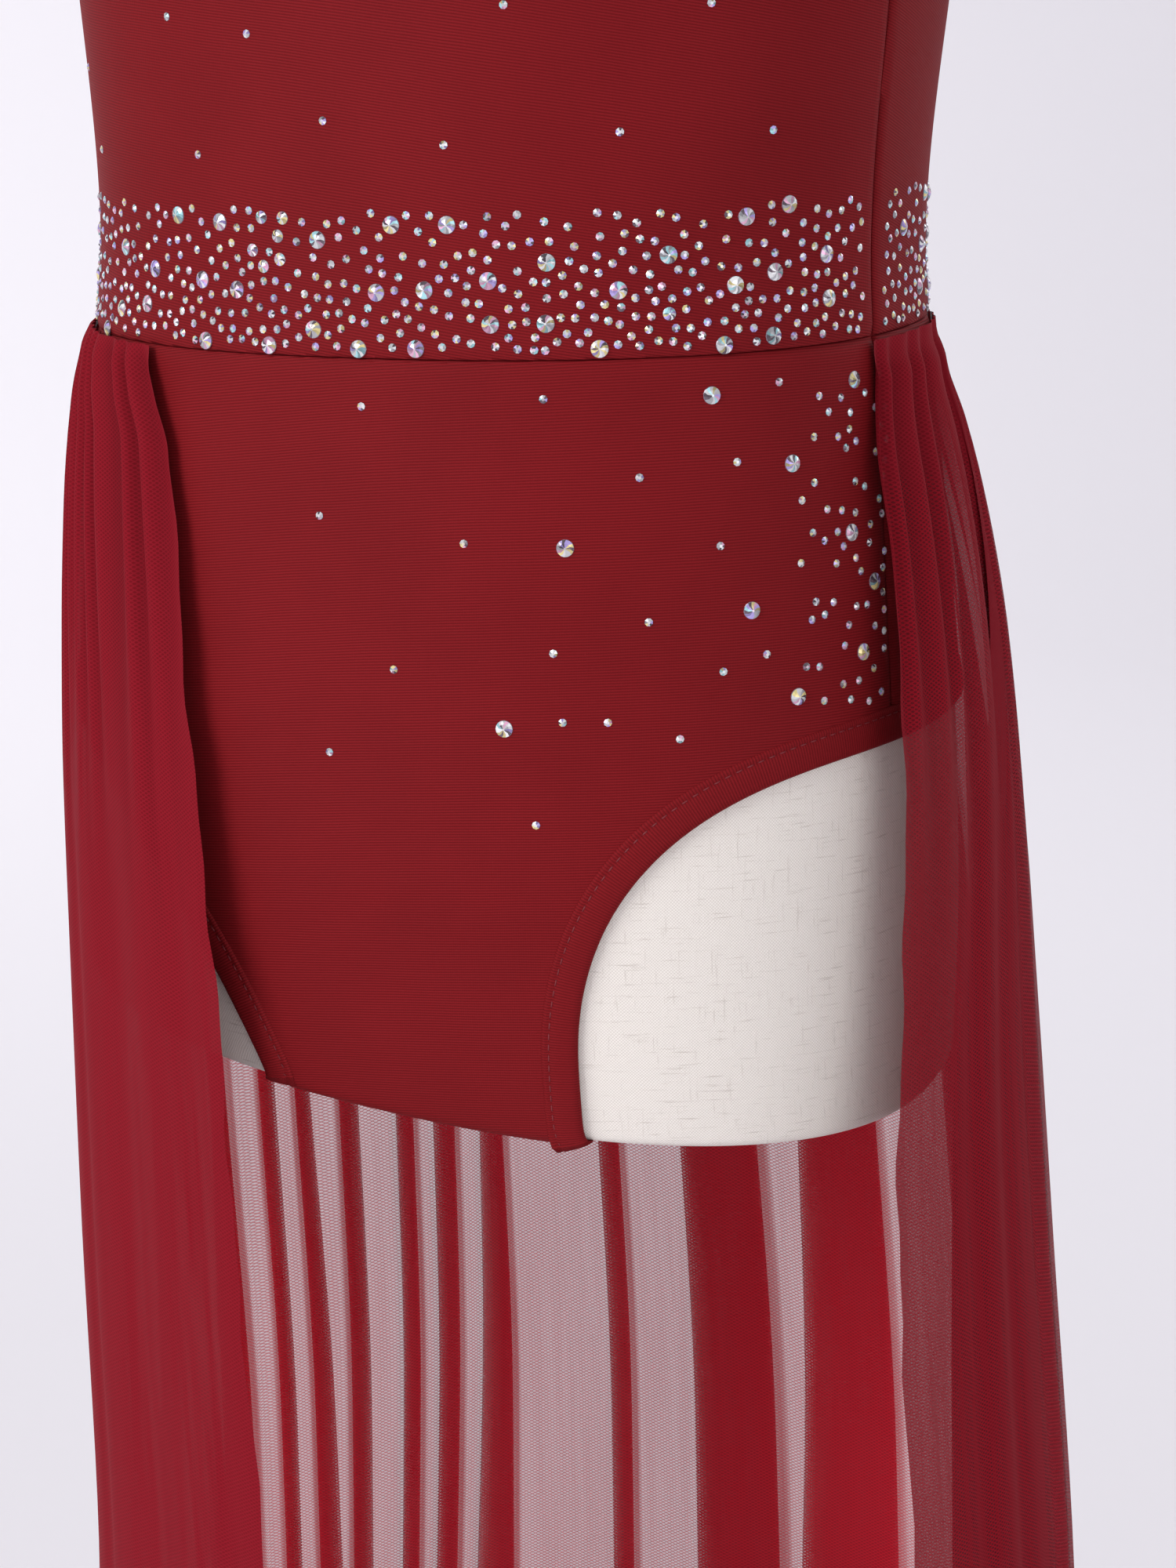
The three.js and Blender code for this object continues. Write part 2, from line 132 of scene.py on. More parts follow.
# Folds where the mesh lies three deep, as shares of the way from the left front edge round the
# back to the right one at FOLD_LEVEL: where the fold's mouth and its tip are, how wide the mouth
# is, how far the tip hangs in, and how the two move for each 100 mm further down
FOLD_LEVEL = 560
FOLD_COLUMNS = ("mouth_at", "tip_at", "mouth", "deep", "mouth_drift", "tip_drift")
FOLDS = (
    (0.1170, 0.0320, 0.004, 4.0, 0.0050, -0.0150),
    (0.1480, 0.1700, 0.006, 6.0, 0, 0),
    (0.1810, 0.2030, 0.006, 6.5, 0, 0),
    (0.2160, 0.2400, 0.006, 7.0, 0, 0),
    (0.2580, 0.2860, 0.006, 6.0, 0, 0),
    (0.3400, 0.3815, 0.006, 8.0, 0, 0.006),
    (0.4000, 0.4285, 0.006, 8.0, -0.0015, 0),
    (0.4560, 0.4665, 0.004, 4.0, 0, 0),
    (0.5110, 0.5260, 0.004, 4.5, 0.001, 0.006),
    (0.5360, 0.5500, 0.004, 4.5, 0.004, 0.004),
    (0.5570, 0.5700, 0.004, 4.5, 0.003, 0.003),
    (0.6000, 0.5890, 0.004, 4.5, 0, 0),
    (0.6235, 0.6140, 0.004, 4.5, -0.004, -0.007),
    (0.6450, 0.6375, 0.004, 4.5, -0.005, -0.005),
    (0.6600, 0.6900, 0.006, 5.0, -0.008, -0.004),
    (0.7020, 0.7270, 0.006, 6.0, 0, 0),
    (0.7420, 0.7680, 0.006, 6.5, 0, 0),
    (0.7820, 0.8060, 0.006, 6.0, 0, 0),
    (0.8200, 0.8430, 0.005, 5.0, 0, 0),
)
# Soft hollows of the front parts, in the same shares
TROUGH_COLUMNS = ("at", "deep", "half_width", "drift")
TROUGHS = (
    (0.052, 1.3, 0.010, -0.004),
    (0.086, 1.2, 0.008, -0.002),
    (0.874, 1.2, 0.009, 0.000),
    (0.928, 2.6, 0.019, 0.003),
    (0.981, 1.6, 0.009, 0.002),
)
FOLD_SWELL = 0.9         # soft hollow round each fold
LEFT_PROUD = 1.1         # how much further out it stands below the waist on the wearer's left
RIGHT_SET_IN = 2.3       # how much closer the skirt hangs on the wearer's right
SPREAD_END = 400         # height below which folds and hollows drift no further
COLUMN_STEP = 1.38       # cloth between the mesh's columns
GATHER_PITCH = 0.0195    # share of the cut from one gather to the next
GATHER_RISE = 3.0
EDGE_WAVER = 0.28        # degrees that the raw front edges wander
EDGE_WIDE = 0.008        # share of the cut over which they do so
# Where the skirt's form and look change: between two shares of the way round, between two
# distances below the waist, or between two heights
SHARES = {
    "proud": (0.03, 0.08), "proud_ends": (0.20, 0.26), "set_in": (0.74, 0.82),
    "left_opens": (0.104, 0.128), "left_open": (0.18, 0.26), "right_closes": (0.66, 0.82),
    # back and back_ends: between them the net takes its brighter far colour, which is painted backlight
    "back": (0.15, 0.35), "back_ends": (0.65, 0.81),
}
BELOW_WAIST = {
    "folds": (0, 190), "troughs": (0, 150), "proud": (0, 20), "proud_ends": (60, 180),
    "set_in": (0, 26), "gathers": (0, 8), "gathers_end": (26, 146), "hug_ends": (0, 24),
    # shade and shade_ends: where the painted shade between the gathers fades in and out
    "waver": (0, 12), "shade": (0, 6), "shade_ends": (15, 165),
}
HEIGHTS = {"waist": (765, 845), "right_closes": (690, 760)}
NET_COVER = {"back": 0.65, "front_left": 0.88, "front_right": 0.985, "fold": 0.88, "waist": 0.95, "tip": 0.5}

# Leotard panels, seams and leg bands
STRETCHED = 1.07         # how much longer the worn leotard's cloth is than its cut
SIDE_LOW = 680.0         # height that the leotard's rows take as level 0
SIDE_SPAN = NECK_TOP - RIM_ROUND - SIDE_LOW
GRAIN = {
    "bodice_front": {"middle": 0, "lean": 0.106, "bend": 0.00039},
    "bodice_back": {"middle": 90, "lean": 0.36, "bend": 0.0},
    "briefs_front": {"middle": 0, "lean": -0.12, "bend": 0.00062},
    "briefs_back": {"middle": 180, "lean": 0.05, "bend": 0.0},
}
WAIST_DIP = {"bodice": (0.5, 1.2), "briefs": (0.7, 1.6)}
SIDE_DIP = (0.7, 0.8)    # how deep a panel's edge is sewn down, and over what width
BAND_COVER = 2.0         # how far the briefs run on under a leg band
SEAM_HALF = 5.5          # half width of the turned-in cloth
SEAM_OUT = 0.25
SEAM_BACK = 0.4          # how far the strips end short of the leotard's openings
SEAM_HEIGHTS = {"side": (750, 1080), "shoulder": (1110, 1156)}
STITCH = {"pitch": 2.6, "long": 1.9, "wide": 0.28, "high": 0.45}
# Section of a leg band: distance from the edge in towards the cloth, and height over the form
BAND_SECTION_COLUMNS = ("inward", "over")
BAND_SECTION = (
    (0.4, 0.5),
    (0.0, 0.9),
    (0.1, 1.6),
    (0.7, 2.2),
    (2.0, 2.4),
    (4.5, 2.4),
    (6.2, 2.3),
    (6.9, 1.95),
    (7.5, 2.2),
    (8.1, 2.15),
    (8.6, 1.75),
    (8.6, 0.6),
)
GROOVE_IN, GROOVE_OVER = BAND_SECTION[7]     # where the band's stitches lie

# Stand and the middle of the body in the row frame
base_low, base_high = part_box("stand_base")
AXIS_X = (base_low[0] + base_high[0]) / 2
AXIS_Y = (base_low[1] + base_high[1]) / 2

# Camera, measured against the form in the photograph, in millimetres and degrees
LENS = 80.64
SENSOR = 36.0
FRAME_SIZE = (1500, 2000)
FOCAL = LENS / SENSOR * FRAME_SIZE[1]
CAMERA_TILT = 15.0
CAMERA_AZIMUTH = 24.5
CAMERA_DISTANCE = 879.0
CAMERA_HEIGHT = 970.0
LOOK_ASIDE = 1.218       # degrees to the right of the body axis


def by_column(columns, rows):
    """A table as one array for each named column."""
    return dict(zip(columns, np.array(rows, float).T))


class Curve:
    """A smooth curve through points that never overshoots them."""

    def __init__(self, across, up):
        order = np.argsort(across)
        self.x, self.y = across[order], up[order]
        slope = np.diff(self.y) / np.diff(self.x)
        before, after = slope[:-1], slope[1:]
        total = np.where(before + after == 0, 1, before + after)
        middle = np.where(before * after <= 0, 0, 2 * before * after / total)
        self.m = np.concatenate([slope[:1], middle, slope[-1:]])

    def __call__(self, at):
        v = np.clip(np.asarray(at, float), self.x[0], self.x[-1])
        i = np.clip(np.searchsorted(self.x, v, side="left") - 1, 0, len(self.x) - 2)
        h = self.x[i + 1] - self.x[i]
        u = (v - self.x[i]) / h
        a = (1 + 2 * u) * (1 - u) ** 2 * self.y[i]
        b = u * (1 - u) ** 2 * h * self.m[i]
        c = u * u * (3 - 2 * u) * self.y[i + 1]
        d = u * u * (u - 1) * h * self.m[i + 1]
        return a + b + c + d


def curves(columns, rows):
    """A curve over z for each other column of a table."""
    table = by_column(columns, rows)
    return [Curve(table["z"], table[name]) for name in columns if name != "z"]


body_width, body_front, body_back = curves(BODY_COLUMNS, BODY)
skirt_width, skirt_front, skirt_back, skirt_centre = curves(SKIRT_COLUMNS, SKIRT)
left_edge, right_edge = curves(EDGE_COLUMNS, EDGES)
folds = by_column(FOLD_COLUMNS, FOLDS)
troughs = by_column(TROUGH_COLUMNS, TROUGHS)
band_section = by_column(BAND_SECTION_COLUMNS, BAND_SECTION)


def power(value, p):
    return np.sign(value) * np.abs(value) ** p


def ramp(value, start, finish):
    """0 up to start and 1 from finish on, with a smooth rise between them."""
    u = np.clip((value - start) / (finish - start), 0, 1)
    return u * u * (3 - 2 * u)


def unit(v):
    return v / np.maximum(np.linalg.norm(v, axis=-1, keepdims=True), 1e-9)


def halve(low, high, early, rounds):
    """Closes in on the place between low and high where early stops being true."""
    for _ in range(rounds):
        middle = (low + high) / 2
        before = early(middle)
        low = np.where(before, middle, low)
        high = np.where(before, high, middle)
    return low, high


def along_line(line):
    """Length from the first point of a line, or of each line of a grid, to each of its points."""
    step = np.linalg.norm(np.diff(line, axis=-2), axis=-1)
    return np.concatenate([0 * step[..., :1], np.cumsum(step, axis=-1)], axis=-1)


def rows_through(*stops):
    """Rows from the first stop to the last, given as (place, count of rows up to the next stop)."""
    runs = [
        np.linspace(low, high, count, endpoint=False)
        for (low, count), (high, _next) in zip(stops, stops[1:])
    ]
    return np.append(np.concatenate(runs), stops[-1][0])


# Body surface

def body_depth(y, z):
    """Half depth of the body at a height, in front where y is below 0 and behind elsewhere."""
    return np.where(y < 0, body_front(z), body_back(z))


def outline_value(x, y, z, more=0.0):
    """1 on the body's outline at a height, with more added all round, and less inside it."""
    return np.abs(x / (body_width(z) + more)) ** SQUARE + np.abs(y / (body_depth(y, z) + more)) ** SQUARE


def side_normal(x, y, z):
    """Outward normal of the body's side at points on it or near it."""
    a, b = body_width(z), body_depth(y, z)
    wider = body_width(z + 0.5) - body_width(z - 0.5)
    deeper = body_depth(y, z + 0.5) - body_depth(y, z - 0.5)
    nx = power(x / a, SQUARE - 1) / a
    ny = power(y / b, SQUARE - 1) / b
    nz = -np.abs(x / a) ** SQUARE * wider / a - np.abs(y / b) ** SQUARE * deeper / b
    return unit(np.stack([nx, ny, nz], -1))


def side_surface(angle, z):
    """Points and outward normals of the body's side at angles from the front and heights."""
    angle, z = np.broadcast_arrays(np.asarray(angle, float), np.asarray(z, float))
    x = body_width(z) * power(np.sin(angle), 2 / SQUARE)
    y = -body_depth(-np.cos(angle), z) * power(np.cos(angle), 2 / SQUARE)
    return np.stack([x, y, z], -1), side_normal(x, y, z)


def cut_height(x, y):
    return CUT_Z + CUT_TILT[0] * x + CUT_TILT[1] * y


def cut_level(angle):
    """Height at which the body's side meets the flat underside."""
    z = np.full(np.shape(angle), float(CUT_Z))
    for _ in range(8):
        point = side_surface(angle, z)[0]
        z = cut_height(point[..., 0], point[..., 1])
    return z


CUT_NORMAL = unit(np.array([*CUT_TILT, -1.0]))


def capped_surface(angle, level):
    """The whole body as rows: below 0 the flat underside and its round edge, from 0 to 1 the side,
    above 1 the neck's round edge and flat top. A round edge or flat takes one unit of level each."""
    angle, level = np.broadcast_arrays(np.asarray(angle, float), np.asarray(level, float))
    low = cut_level(angle) + RIM_ROUND
    high = NECK_TOP - RIM_ROUND
    side, facing = side_surface(angle, low + (high - low) * np.clip(level, 0, 1))
    point, normal = side, facing
    for past, away, middle_z in ((-level, CUT_NORMAL, CUT_Z), (level - 1, UP, NECK_TOP)):
        turn = np.clip(past, 0, 1)[..., None] * math.pi / 2
        out = unit(facing - (facing @ away)[..., None] * away)
        rim = side - out * RIM_ROUND * (1 - np.cos(turn)) + away * RIM_ROUND * np.sin(turn)
        rim = rim + (UP * middle_z - rim) * np.clip(past - 1, 0, 1)[..., None]
        use = (past > 0)[..., None]
        point = np.where(use, rim, point)
        normal = np.where(use, unit(out * np.cos(turn) + away * np.sin(turn)), normal)
    return point, normal


def body_normal(p):
    """Outward normal of the body near a point, turned down on the flat underside."""
    x, y, z = np.moveaxis(p, -1, 0)
    under = ramp(outline_value(x, y, z), 0.97, 0.87)[..., None]
    return unit(side_normal(x, y, z) * (1 - under) + CUT_NORMAL * under)


def snap_to_body(p):
    """Moves points near the body's side onto it, and leaves those well under it."""
    value = outline_value(*np.moveaxis(p, -1, 0))
    scale = 1 + (value ** (-1 / SQUARE) - 1) * ramp(value, 0.85, 0.95)
    return np.concatenate([p[..., :2] * scale[..., None], p[..., 2:]], -1)


# Mesh helpers

def new_object(name, data):
    made = bpy.data.objects.new(name, data)
    bpy.context.scene.collection.objects.link(made)
    return made


def add_mesh(name, points, faces, uv=None, facet=None):
    """An object from points in the building frame, with a uv for each point in mm, or a colour
    for each corner of its facets."""
    data = bpy.data.meshes.new(name)
    placed = np.asarray(points, float) * MM + np.array([AXIS_X, AXIS_Y, 0])
    data.from_pydata(placed.tolist(), [], [list(map(int, face)) for face in faces])
    corner = np.empty(len(data.loops), dtype=np.int32)
    data.loops.foreach_get("vertex_index", corner)
    if uv is not None:
        layer = data.uv_layers.new(name="cut")
        layer.data.foreach_set("uv", np.asarray(uv, float)[corner].ravel())
    if facet is not None:
        colours = data.color_attributes.new("facet", "FLOAT_COLOR", "CORNER")
        colours.data.foreach_set("color", np.asarray(facet, float).ravel())
    data.polygons.foreach_set("use_smooth", np.full(len(data.polygons), facet is None))
    data.validate()
    data.update()
    return new_object(name, data)


def grid_faces(rows, columns, closed=False):
    faces = []
    for r in range(rows - 1):
        for c in range(columns if closed else columns - 1):
            here = r * columns + c
            beside = r * columns + (c + 1) % columns
            faces.append((here, beside, beside + columns, here + columns))
    return faces


def drop_unused(faces, *arrays):
    """The faces, and arrays with a row for each point, without the points that no face uses."""
    used = sorted({i for face in faces for i in face})
    place = {old: new for new, old in enumerate(used)}
    return [[place[i] for i in face] for face in faces], *(array[used] for array in arrays)


def flat_cut(piece):
    """Width, length and area, in metres, of the flat cloth that was stretched into a piece."""
    uv = np.empty(2 * len(piece.data.loops))
    piece.data.uv_layers["cut"].data.foreach_get("uv", uv)
    wide, long = (float(size) for size in np.ptp(uv.reshape(-1, 2), axis=0) * MM / STRETCHED)
    area = sum(face.area for face in piece.data.polygons) / STRETCHED ** 2
    return wide, long, min(area, wide * long)


def thicken(piece, wall):
    """Gives a sheet its wall, inward from the outer face, as a mesh with closed edges."""
    modifier = piece.modifiers.new("wall", "SOLIDIFY")
    modifier.thickness = wall * MM
    modifier.offset = -1
    modifier.use_quality_normals = True
    bpy.context.view_layer.objects.active = piece
    with bpy.context.temp_override(object=piece, active_object=piece):
        bpy.ops.object.modifier_apply(modifier="wall")


def face_out(piece):
    """Turns every face of a closed mesh outward."""
    work = bmesh.new()
    work.from_mesh(piece.data)
    bmesh.ops.recalc_face_normals(work, faces=work.faces)
    work.to_mesh(piece.data)
    work.free()


# Limits of the leotard's panels, each above zero where the panel is

def waist_height(x):
    return WAIST_Z + WAIST_TILT * x


def above_waist(p):
    return p[..., 2] - waist_height(p[..., 0]) - SEAM_GAP / 2


def below_waist(p):
    return waist_height(p[..., 0]) - SEAM_GAP / 2 - p[..., 2]


def side_seam(p):
    """Below zero in front of the side seams and above zero behind them."""
    return p[..., 1] + np.maximum(np.abs(p[..., 0]) - SEAM_STRAIGHT, 0) * SEAM_SLANT


def in_front(p):
    return -side_seam(p) - SEAM_GAP / 2


def behind(p):
    return side_seam(p) - SEAM_GAP / 2


def outside_neck(p):
    deep = np.where(p[..., 1] < 0, NECK["front"], NECK["back"])
    inside = (p[..., 0] / NECK["half_width"]) ** 2 + (p[..., 1] / deep) ** 2
    return np.where(p[..., 2] < NECK["lowest"], 1.0, inside - 1)


def outside_armhole(p):
    across = (p[..., 1] - ARMHOLE["y"]) / ARMHOLE["half_depth"]
    up = (p[..., 2] - ARMHOLE["z"]) / ARMHOLE["half_height"]
    return across**2 + up**2 - 1


def leg_value(p, leg):
    """Above zero on the cloth's side of a leg opening."""
    across = np.maximum(LEG_LIMIT - p[..., 0] * leg["side"], 0) / leg["width"]
    up = np.maximum(p[..., 2] - leg["foot"], 0) / leg["height"]
    return across ** leg["round"] + up ** leg["round"] - 1


def leg_edge(leg, count):
    """Evenly spaced closed line of a leg opening on the body, and its length."""
    straight, arc = 60, 500
    under_form = 600
    turn = np.linspace(0, math.pi / 2, arc)
    inner = LEG_LIMIT - leg["width"]
    x = LEG_LIMIT - leg["width"] * np.cos(turn) ** (2 / leg["round"])
    z = leg["foot"] + leg["height"] * np.sin(turn) ** (2 / leg["round"])
    x = np.concatenate([np.full(straight, inner), x])
    z = np.concatenate([np.linspace(under_form, leg["foot"], straight, endpoint=False), z])
    keep = x < body_width(z)
    x, z = x[keep], z[keep]
    angle = np.arcsin((x / body_width(z)) ** (SQUARE / 2)) * leg["side"]
    front, back = (side_surface(turn, z)[0] for turn in (angle, math.pi - angle))
    front, back = (line[line[:, 2] > cut_height(line[:, 0], line[:, 1])] for line in (front, back))
    steps = np.linspace(0, 1, straight, endpoint=False)[1:, None]
    under = back[0] + (front[0] - back[0]) * steps
    line = np.concatenate([front, back[::-1], under, front[:1]])
    length = along_line(line)
    at = np.linspace(0, length[-1], count, endpoint=False)
    even = np.stack([np.interp(at, length, line[:, k]) for k in range(3)], -1)
    for _ in range(6):
        even = (np.roll(even, 1, 0) + 2 * even + np.roll(even, -1, 0)) / 4
    return even, length[-1]


def off_leg(leg):
    """A limit that keeps the briefs off a leg opening, as far as the leg band covers it."""
    line = leg_edge(leg, 360)[0]
    at_once = 4000

    def value(p):
        flat = p.reshape(-1, 3)
        near = [
            np.sqrt(((flat[start : start + at_once, None] - line[None]) ** 2).sum(-1)).min(1)
            for start in range(0, len(flat), at_once)
        ]
        near = np.concatenate(near).reshape(p.shape[:-1])
        outside = np.where(leg_value(p, leg) > 0, near, -near)
        other_side = p[..., 0] * leg["side"] < 0
        return np.where(other_side, 100.0, outside) - (LEG_BAND - BAND_COVER)

    return value


OPENINGS = [outside_neck, outside_armhole]
LEG_OPENINGS = [off_leg(leg) for leg in LEGS.values()]


# Leotard

def clip_ring(ring, k):
    """The part of a ring of rows where value k is above zero."""
    kept = []
    for i, here in enumerate(ring):
        after = ring[(i + 1) % len(ring)]
        if here[k] > 0:
            kept.append(here)
        if (here[k] > 0) != (after[k] > 0):
            share = here[k] / (here[k] - after[k])
            kept.append(here + (after - here) * share)
    return kept


def panel(name, angles, levels, limits, grain, dips):
    """A sheet of the leotard: a fine grid of the body surface, kept where every limit is above zero.

    grain gives the ribs' lean over the panel. dips gives, for the first limits in turn, how deep
    that edge is sewn down and over what width.
    """
    turn, level = np.meshgrid(np.radians(angles), levels)
    skin = capped_surface(turn, level)[0]
    along = along_line(skin)
    middle = int(np.argmin(np.abs(np.asarray(angles) - grain["middle"])))
    along = along - along[:, middle : middle + 1]
    values = np.stack([limit(skin) for limit in limits], -1)
    data = np.concatenate([turn[..., None], level[..., None], along[..., None], values], -1)
    first_value = 3
    count = (values > 0).all(-1).astype(int)
    full = count[:-1, :-1] + count[1:, :-1] + count[:-1, 1:] + count[1:, 1:]
    corners = []
    faces = []
    known = {}

    def index_of(row):
        key = (round(float(row[0]), 5), round(float(row[1]), 5))
        if key not in known:
            known[key] = len(corners)
            corners.append(row)
        return known[key]

    for r, c in np.ndindex(full.shape):
        ring = [data[r, c], data[r, c + 1], data[r + 1, c + 1], data[r + 1, c]]
        if full[r, c] < 4:
            for k in range(len(limits)):
                ring = clip_ring(ring, first_value + k)
        if len(ring) > 2:
            face = list(dict.fromkeys(index_of(row) for row in ring))
            if len(face) > 2:
                faces.append(face)
    corners = np.array(corners)
    turn, level, s = corners[:, :first_value].T
    point, normal = capped_surface(turn, level)
    lift = np.full(len(corners), CLOTH_OUT)
    for k, (deep, wide) in enumerate(dips):
        lift -= deep * np.exp(-((corners[:, first_value + k] / wide) ** 2))
    side = side_surface(turn, point[:, 2])[0]
    under = np.linalg.norm(point[:, :2] - side[:, :2], axis=1) * (level < 0)
    v = point[:, 2] - under + grain["lean"] * s + grain["bend"] * s * s
    faces, shell, uv = drop_unused(faces, point + normal * lift[:, None], np.stack([s, v], -1))
    piece = add_mesh(name, shell, faces, uv=uv)
    cut = flat_cut(piece)
    thicken(piece, CLOTH_WALL)
    return piece, cut


def level_at(z):
    return (z - SIDE_LOW) / SIDE_SPAN


def build_leotard():
    """The four panels with their flat cuts, by the node that each stands for."""
    bodice_rows = level_at(rows_through((845, 2), (850, 20), (866, 114), (1150, 4), (1160, 0)))
    side_rows = level_at(rows_through((683, 63), (848, 20), (864, 2), (870, 0)))
    under_rows = rows_through((-2, 26), (-1, 5), (0, 2), (side_rows[0], 0))
    parts = {
        "bodice": (bodice_rows, above_waist, OPENINGS),
        "briefs": (np.append(under_rows, side_rows[1:]), below_waist, LEG_OPENINGS),
    }
    halves = {
        "front": (np.linspace(-96, 96, 180), in_front),
        "back": (np.linspace(70, 290, 200), behind),
    }
    pieces = {}
    for part, (rows, at_waist, openings) in parts.items():
        for half, (angles, at_side) in halves.items():
            node = f"{part}_{half}"
            limits = [at_waist, at_side, *openings]
            dips = (WAIST_DIP[part], SIDE_DIP)
            pieces[node] = panel(f"{node}_cloth", angles, rows, limits, GRAIN[node], dips)
    return pieces


def seam_angles(side, z):
    """Angles at which the seam of one side lies."""
    low, high = (np.full(z.shape, math.radians(degrees)) for degrees in (50, 140))

    def in_front_of_seam(angle):
        return side_seam(side_surface(side * angle, z)[0]) < 0

    return side * halve(low, high, in_front_of_seam, 24)[0]


def build_seams():
    """The turned-in cloth under the waist, side and shoulder seams, lying on the form, and its
    strips' length from end to end."""
    across = np.linspace(-SEAM_HALF, SEAM_HALF, 5)
    turn = np.radians(np.arange(0, 361, 2.0))[:, None] + 0 * across
    strips = [(turn, waist_height(side_surface(turn, WAIST_Z)[0][..., 0]) + across)]
    for side in (1, -1):
        for low, high in SEAM_HEIGHTS.values():
            z = np.linspace(low, high, 3 + int((high - low) / 1.5))[:, None] + 0 * across
            turn = seam_angles(side, z)
            far = np.linalg.norm(side_surface(turn, z)[0][..., :2], axis=-1)
            strips.append((turn + across / far, z))
    points = []
    uv = []
    faces = []
    length = 0.0
    for turn, height in strips:
        base, normal = side_surface(turn, height)
        strip = base + normal * SEAM_OUT
        limits = np.stack([limit(base) for limit in OPENINGS + LEG_OPENINGS])
        shown = (limits > SEAM_BACK).all(0).ravel()
        along = along_line(strip[:, 2])
        every = grid_faces(len(turn), len(across))
        kept = [face for face in every if shown[list(face)].all()]
        faces.extend(tuple(len(points) + i for i in face) for face in kept)
        points.extend(strip.reshape(-1, 3))
        uv.extend(np.stack(np.broadcast_arrays(along[:, None], across), -1).reshape(-1, 2))
        length += along[-1] * len(kept) / len(every)
    faces, points, uv = drop_unused(faces, np.array(points), np.array(uv))
    return add_mesh("seam_allowances", points, faces, uv=uv), length


def band_frame(leg, count):
    """Line of a leg opening, its length, its direction, and the way from it into the cloth."""
    line, length = leg_edge(leg, count)
    tangent = unit(np.roll(line, -1, 0) - np.roll(line, 1, 0))
    inward = unit(np.cross(body_normal(line), tangent))
    if np.median(leg_value(line + inward * 3, leg)) < 0:
        inward = -inward
    return line, length, tangent, inward


def build_leg_band(name, leg):
    count = 300
    line, length, _tangent, inward = band_frame(leg, count)
    rings = []
    for away, over in zip(band_section["inward"], band_section["over"]):
        base = snap_to_body(line + inward * away)
        rings.append(base + body_normal(base) * over)
    faces = grid_faces(len(rings), count, closed=True)
    last = (len(rings) - 1) * count
    for i in range(count):
        j = (i + 1) % count
        faces.append((last + i, last + j, j, i))
    across = along_line(np.array(BAND_SECTION))
    run = np.linspace(0, length, count, endpoint=False)
    uv = np.stack(np.meshgrid(across, run, indexing="ij"), -1).reshape(-1, 2)
    piece = add_mesh(name, np.concatenate(rings), faces, uv=uv)
    face_out(piece)
    return piece


def build_stitches(name, leg):
    """Short threads lying in the groove beside a band's inner edge."""
    count = int(leg_edge(leg, 60)[1] / STITCH["pitch"])
    line, _length, tangent, inward = band_frame(leg, count)
    base = snap_to_body(line + inward * GROOVE_IN)
    normal = body_normal(base)
    across = np.cross(tangent, normal)
    points = []
    faces = []
    for p, t, n, a in zip(base, tangent, normal, across):
        start = len(points)
        for along, rise in ((-0.5, 0.0), (-0.25, 0.5), (0.25, 0.5), (0.5, 0.0)):
            for side in (-0.5, 0.5):
                over = GROOVE_OVER + rise * STITCH["high"]
                points.append(p + t * along * STITCH["long"] + n * over + a * side * STITCH["wide"])
        for i in (start, start + 2, start + 4):
            faces.append((i, i + 2, i + 3, i + 1))
        faces.append((start, start + 1, start + 7, start + 6))
        faces.append((start, start + 6, start + 4, start + 2))
        faces.append((start + 1, start + 3, start + 5, start + 7))
    piece = add_mesh(name, points, faces)
    face_out(piece)
    return piece


# Skirt

def skirt_limit(degrees, z):
    """The skirt's outer form at angles and heights: x, y and the level normal's x and y."""
    angle = np.radians(degrees)
    a = skirt_width(z)
    b = np.where(np.cos(angle) > 0, skirt_front(z), skirt_back(z))
    x, y = a * power(np.sin(angle), 2 / SQUARE), -b * power(np.cos(angle), 2 / SQUARE)
    nx, ny = power(x / a, SQUARE - 1) / a, power(y / b, SQUARE - 1) / b
    long = np.hypot(nx, ny)
    return x + skirt_centre(z), y, nx / long, ny / long


def room_inside(x, y, nx, ny, z, keep):
    """How far a point may go in before it meets the leotard."""
    under_form = 668

    def clear(room):
        return outline_value(x - nx * room, y - ny * room, z, keep) > 1

    room = halve(np.zeros_like(x), np.full_like(x, 40.0), clear, 16)[0]
    return np.where(z < under_form, 100.0, room)


def from_waist(z, change):
    """0 to 1 for heights, one row each, by how far a change below the waist has come."""
    return ramp(WAIST_Z - z, *BELOW_WAIST[change])[:, None]


def round_from(share, change):
    return ramp(share, *SHARES[change])


def drift_at(z):
    """How many hundreds of millimetres a height lies below the level of the folds' table."""
    return (FOLD_LEVEL - np.clip(z, SPREAD_END, None))[:, None] / 100


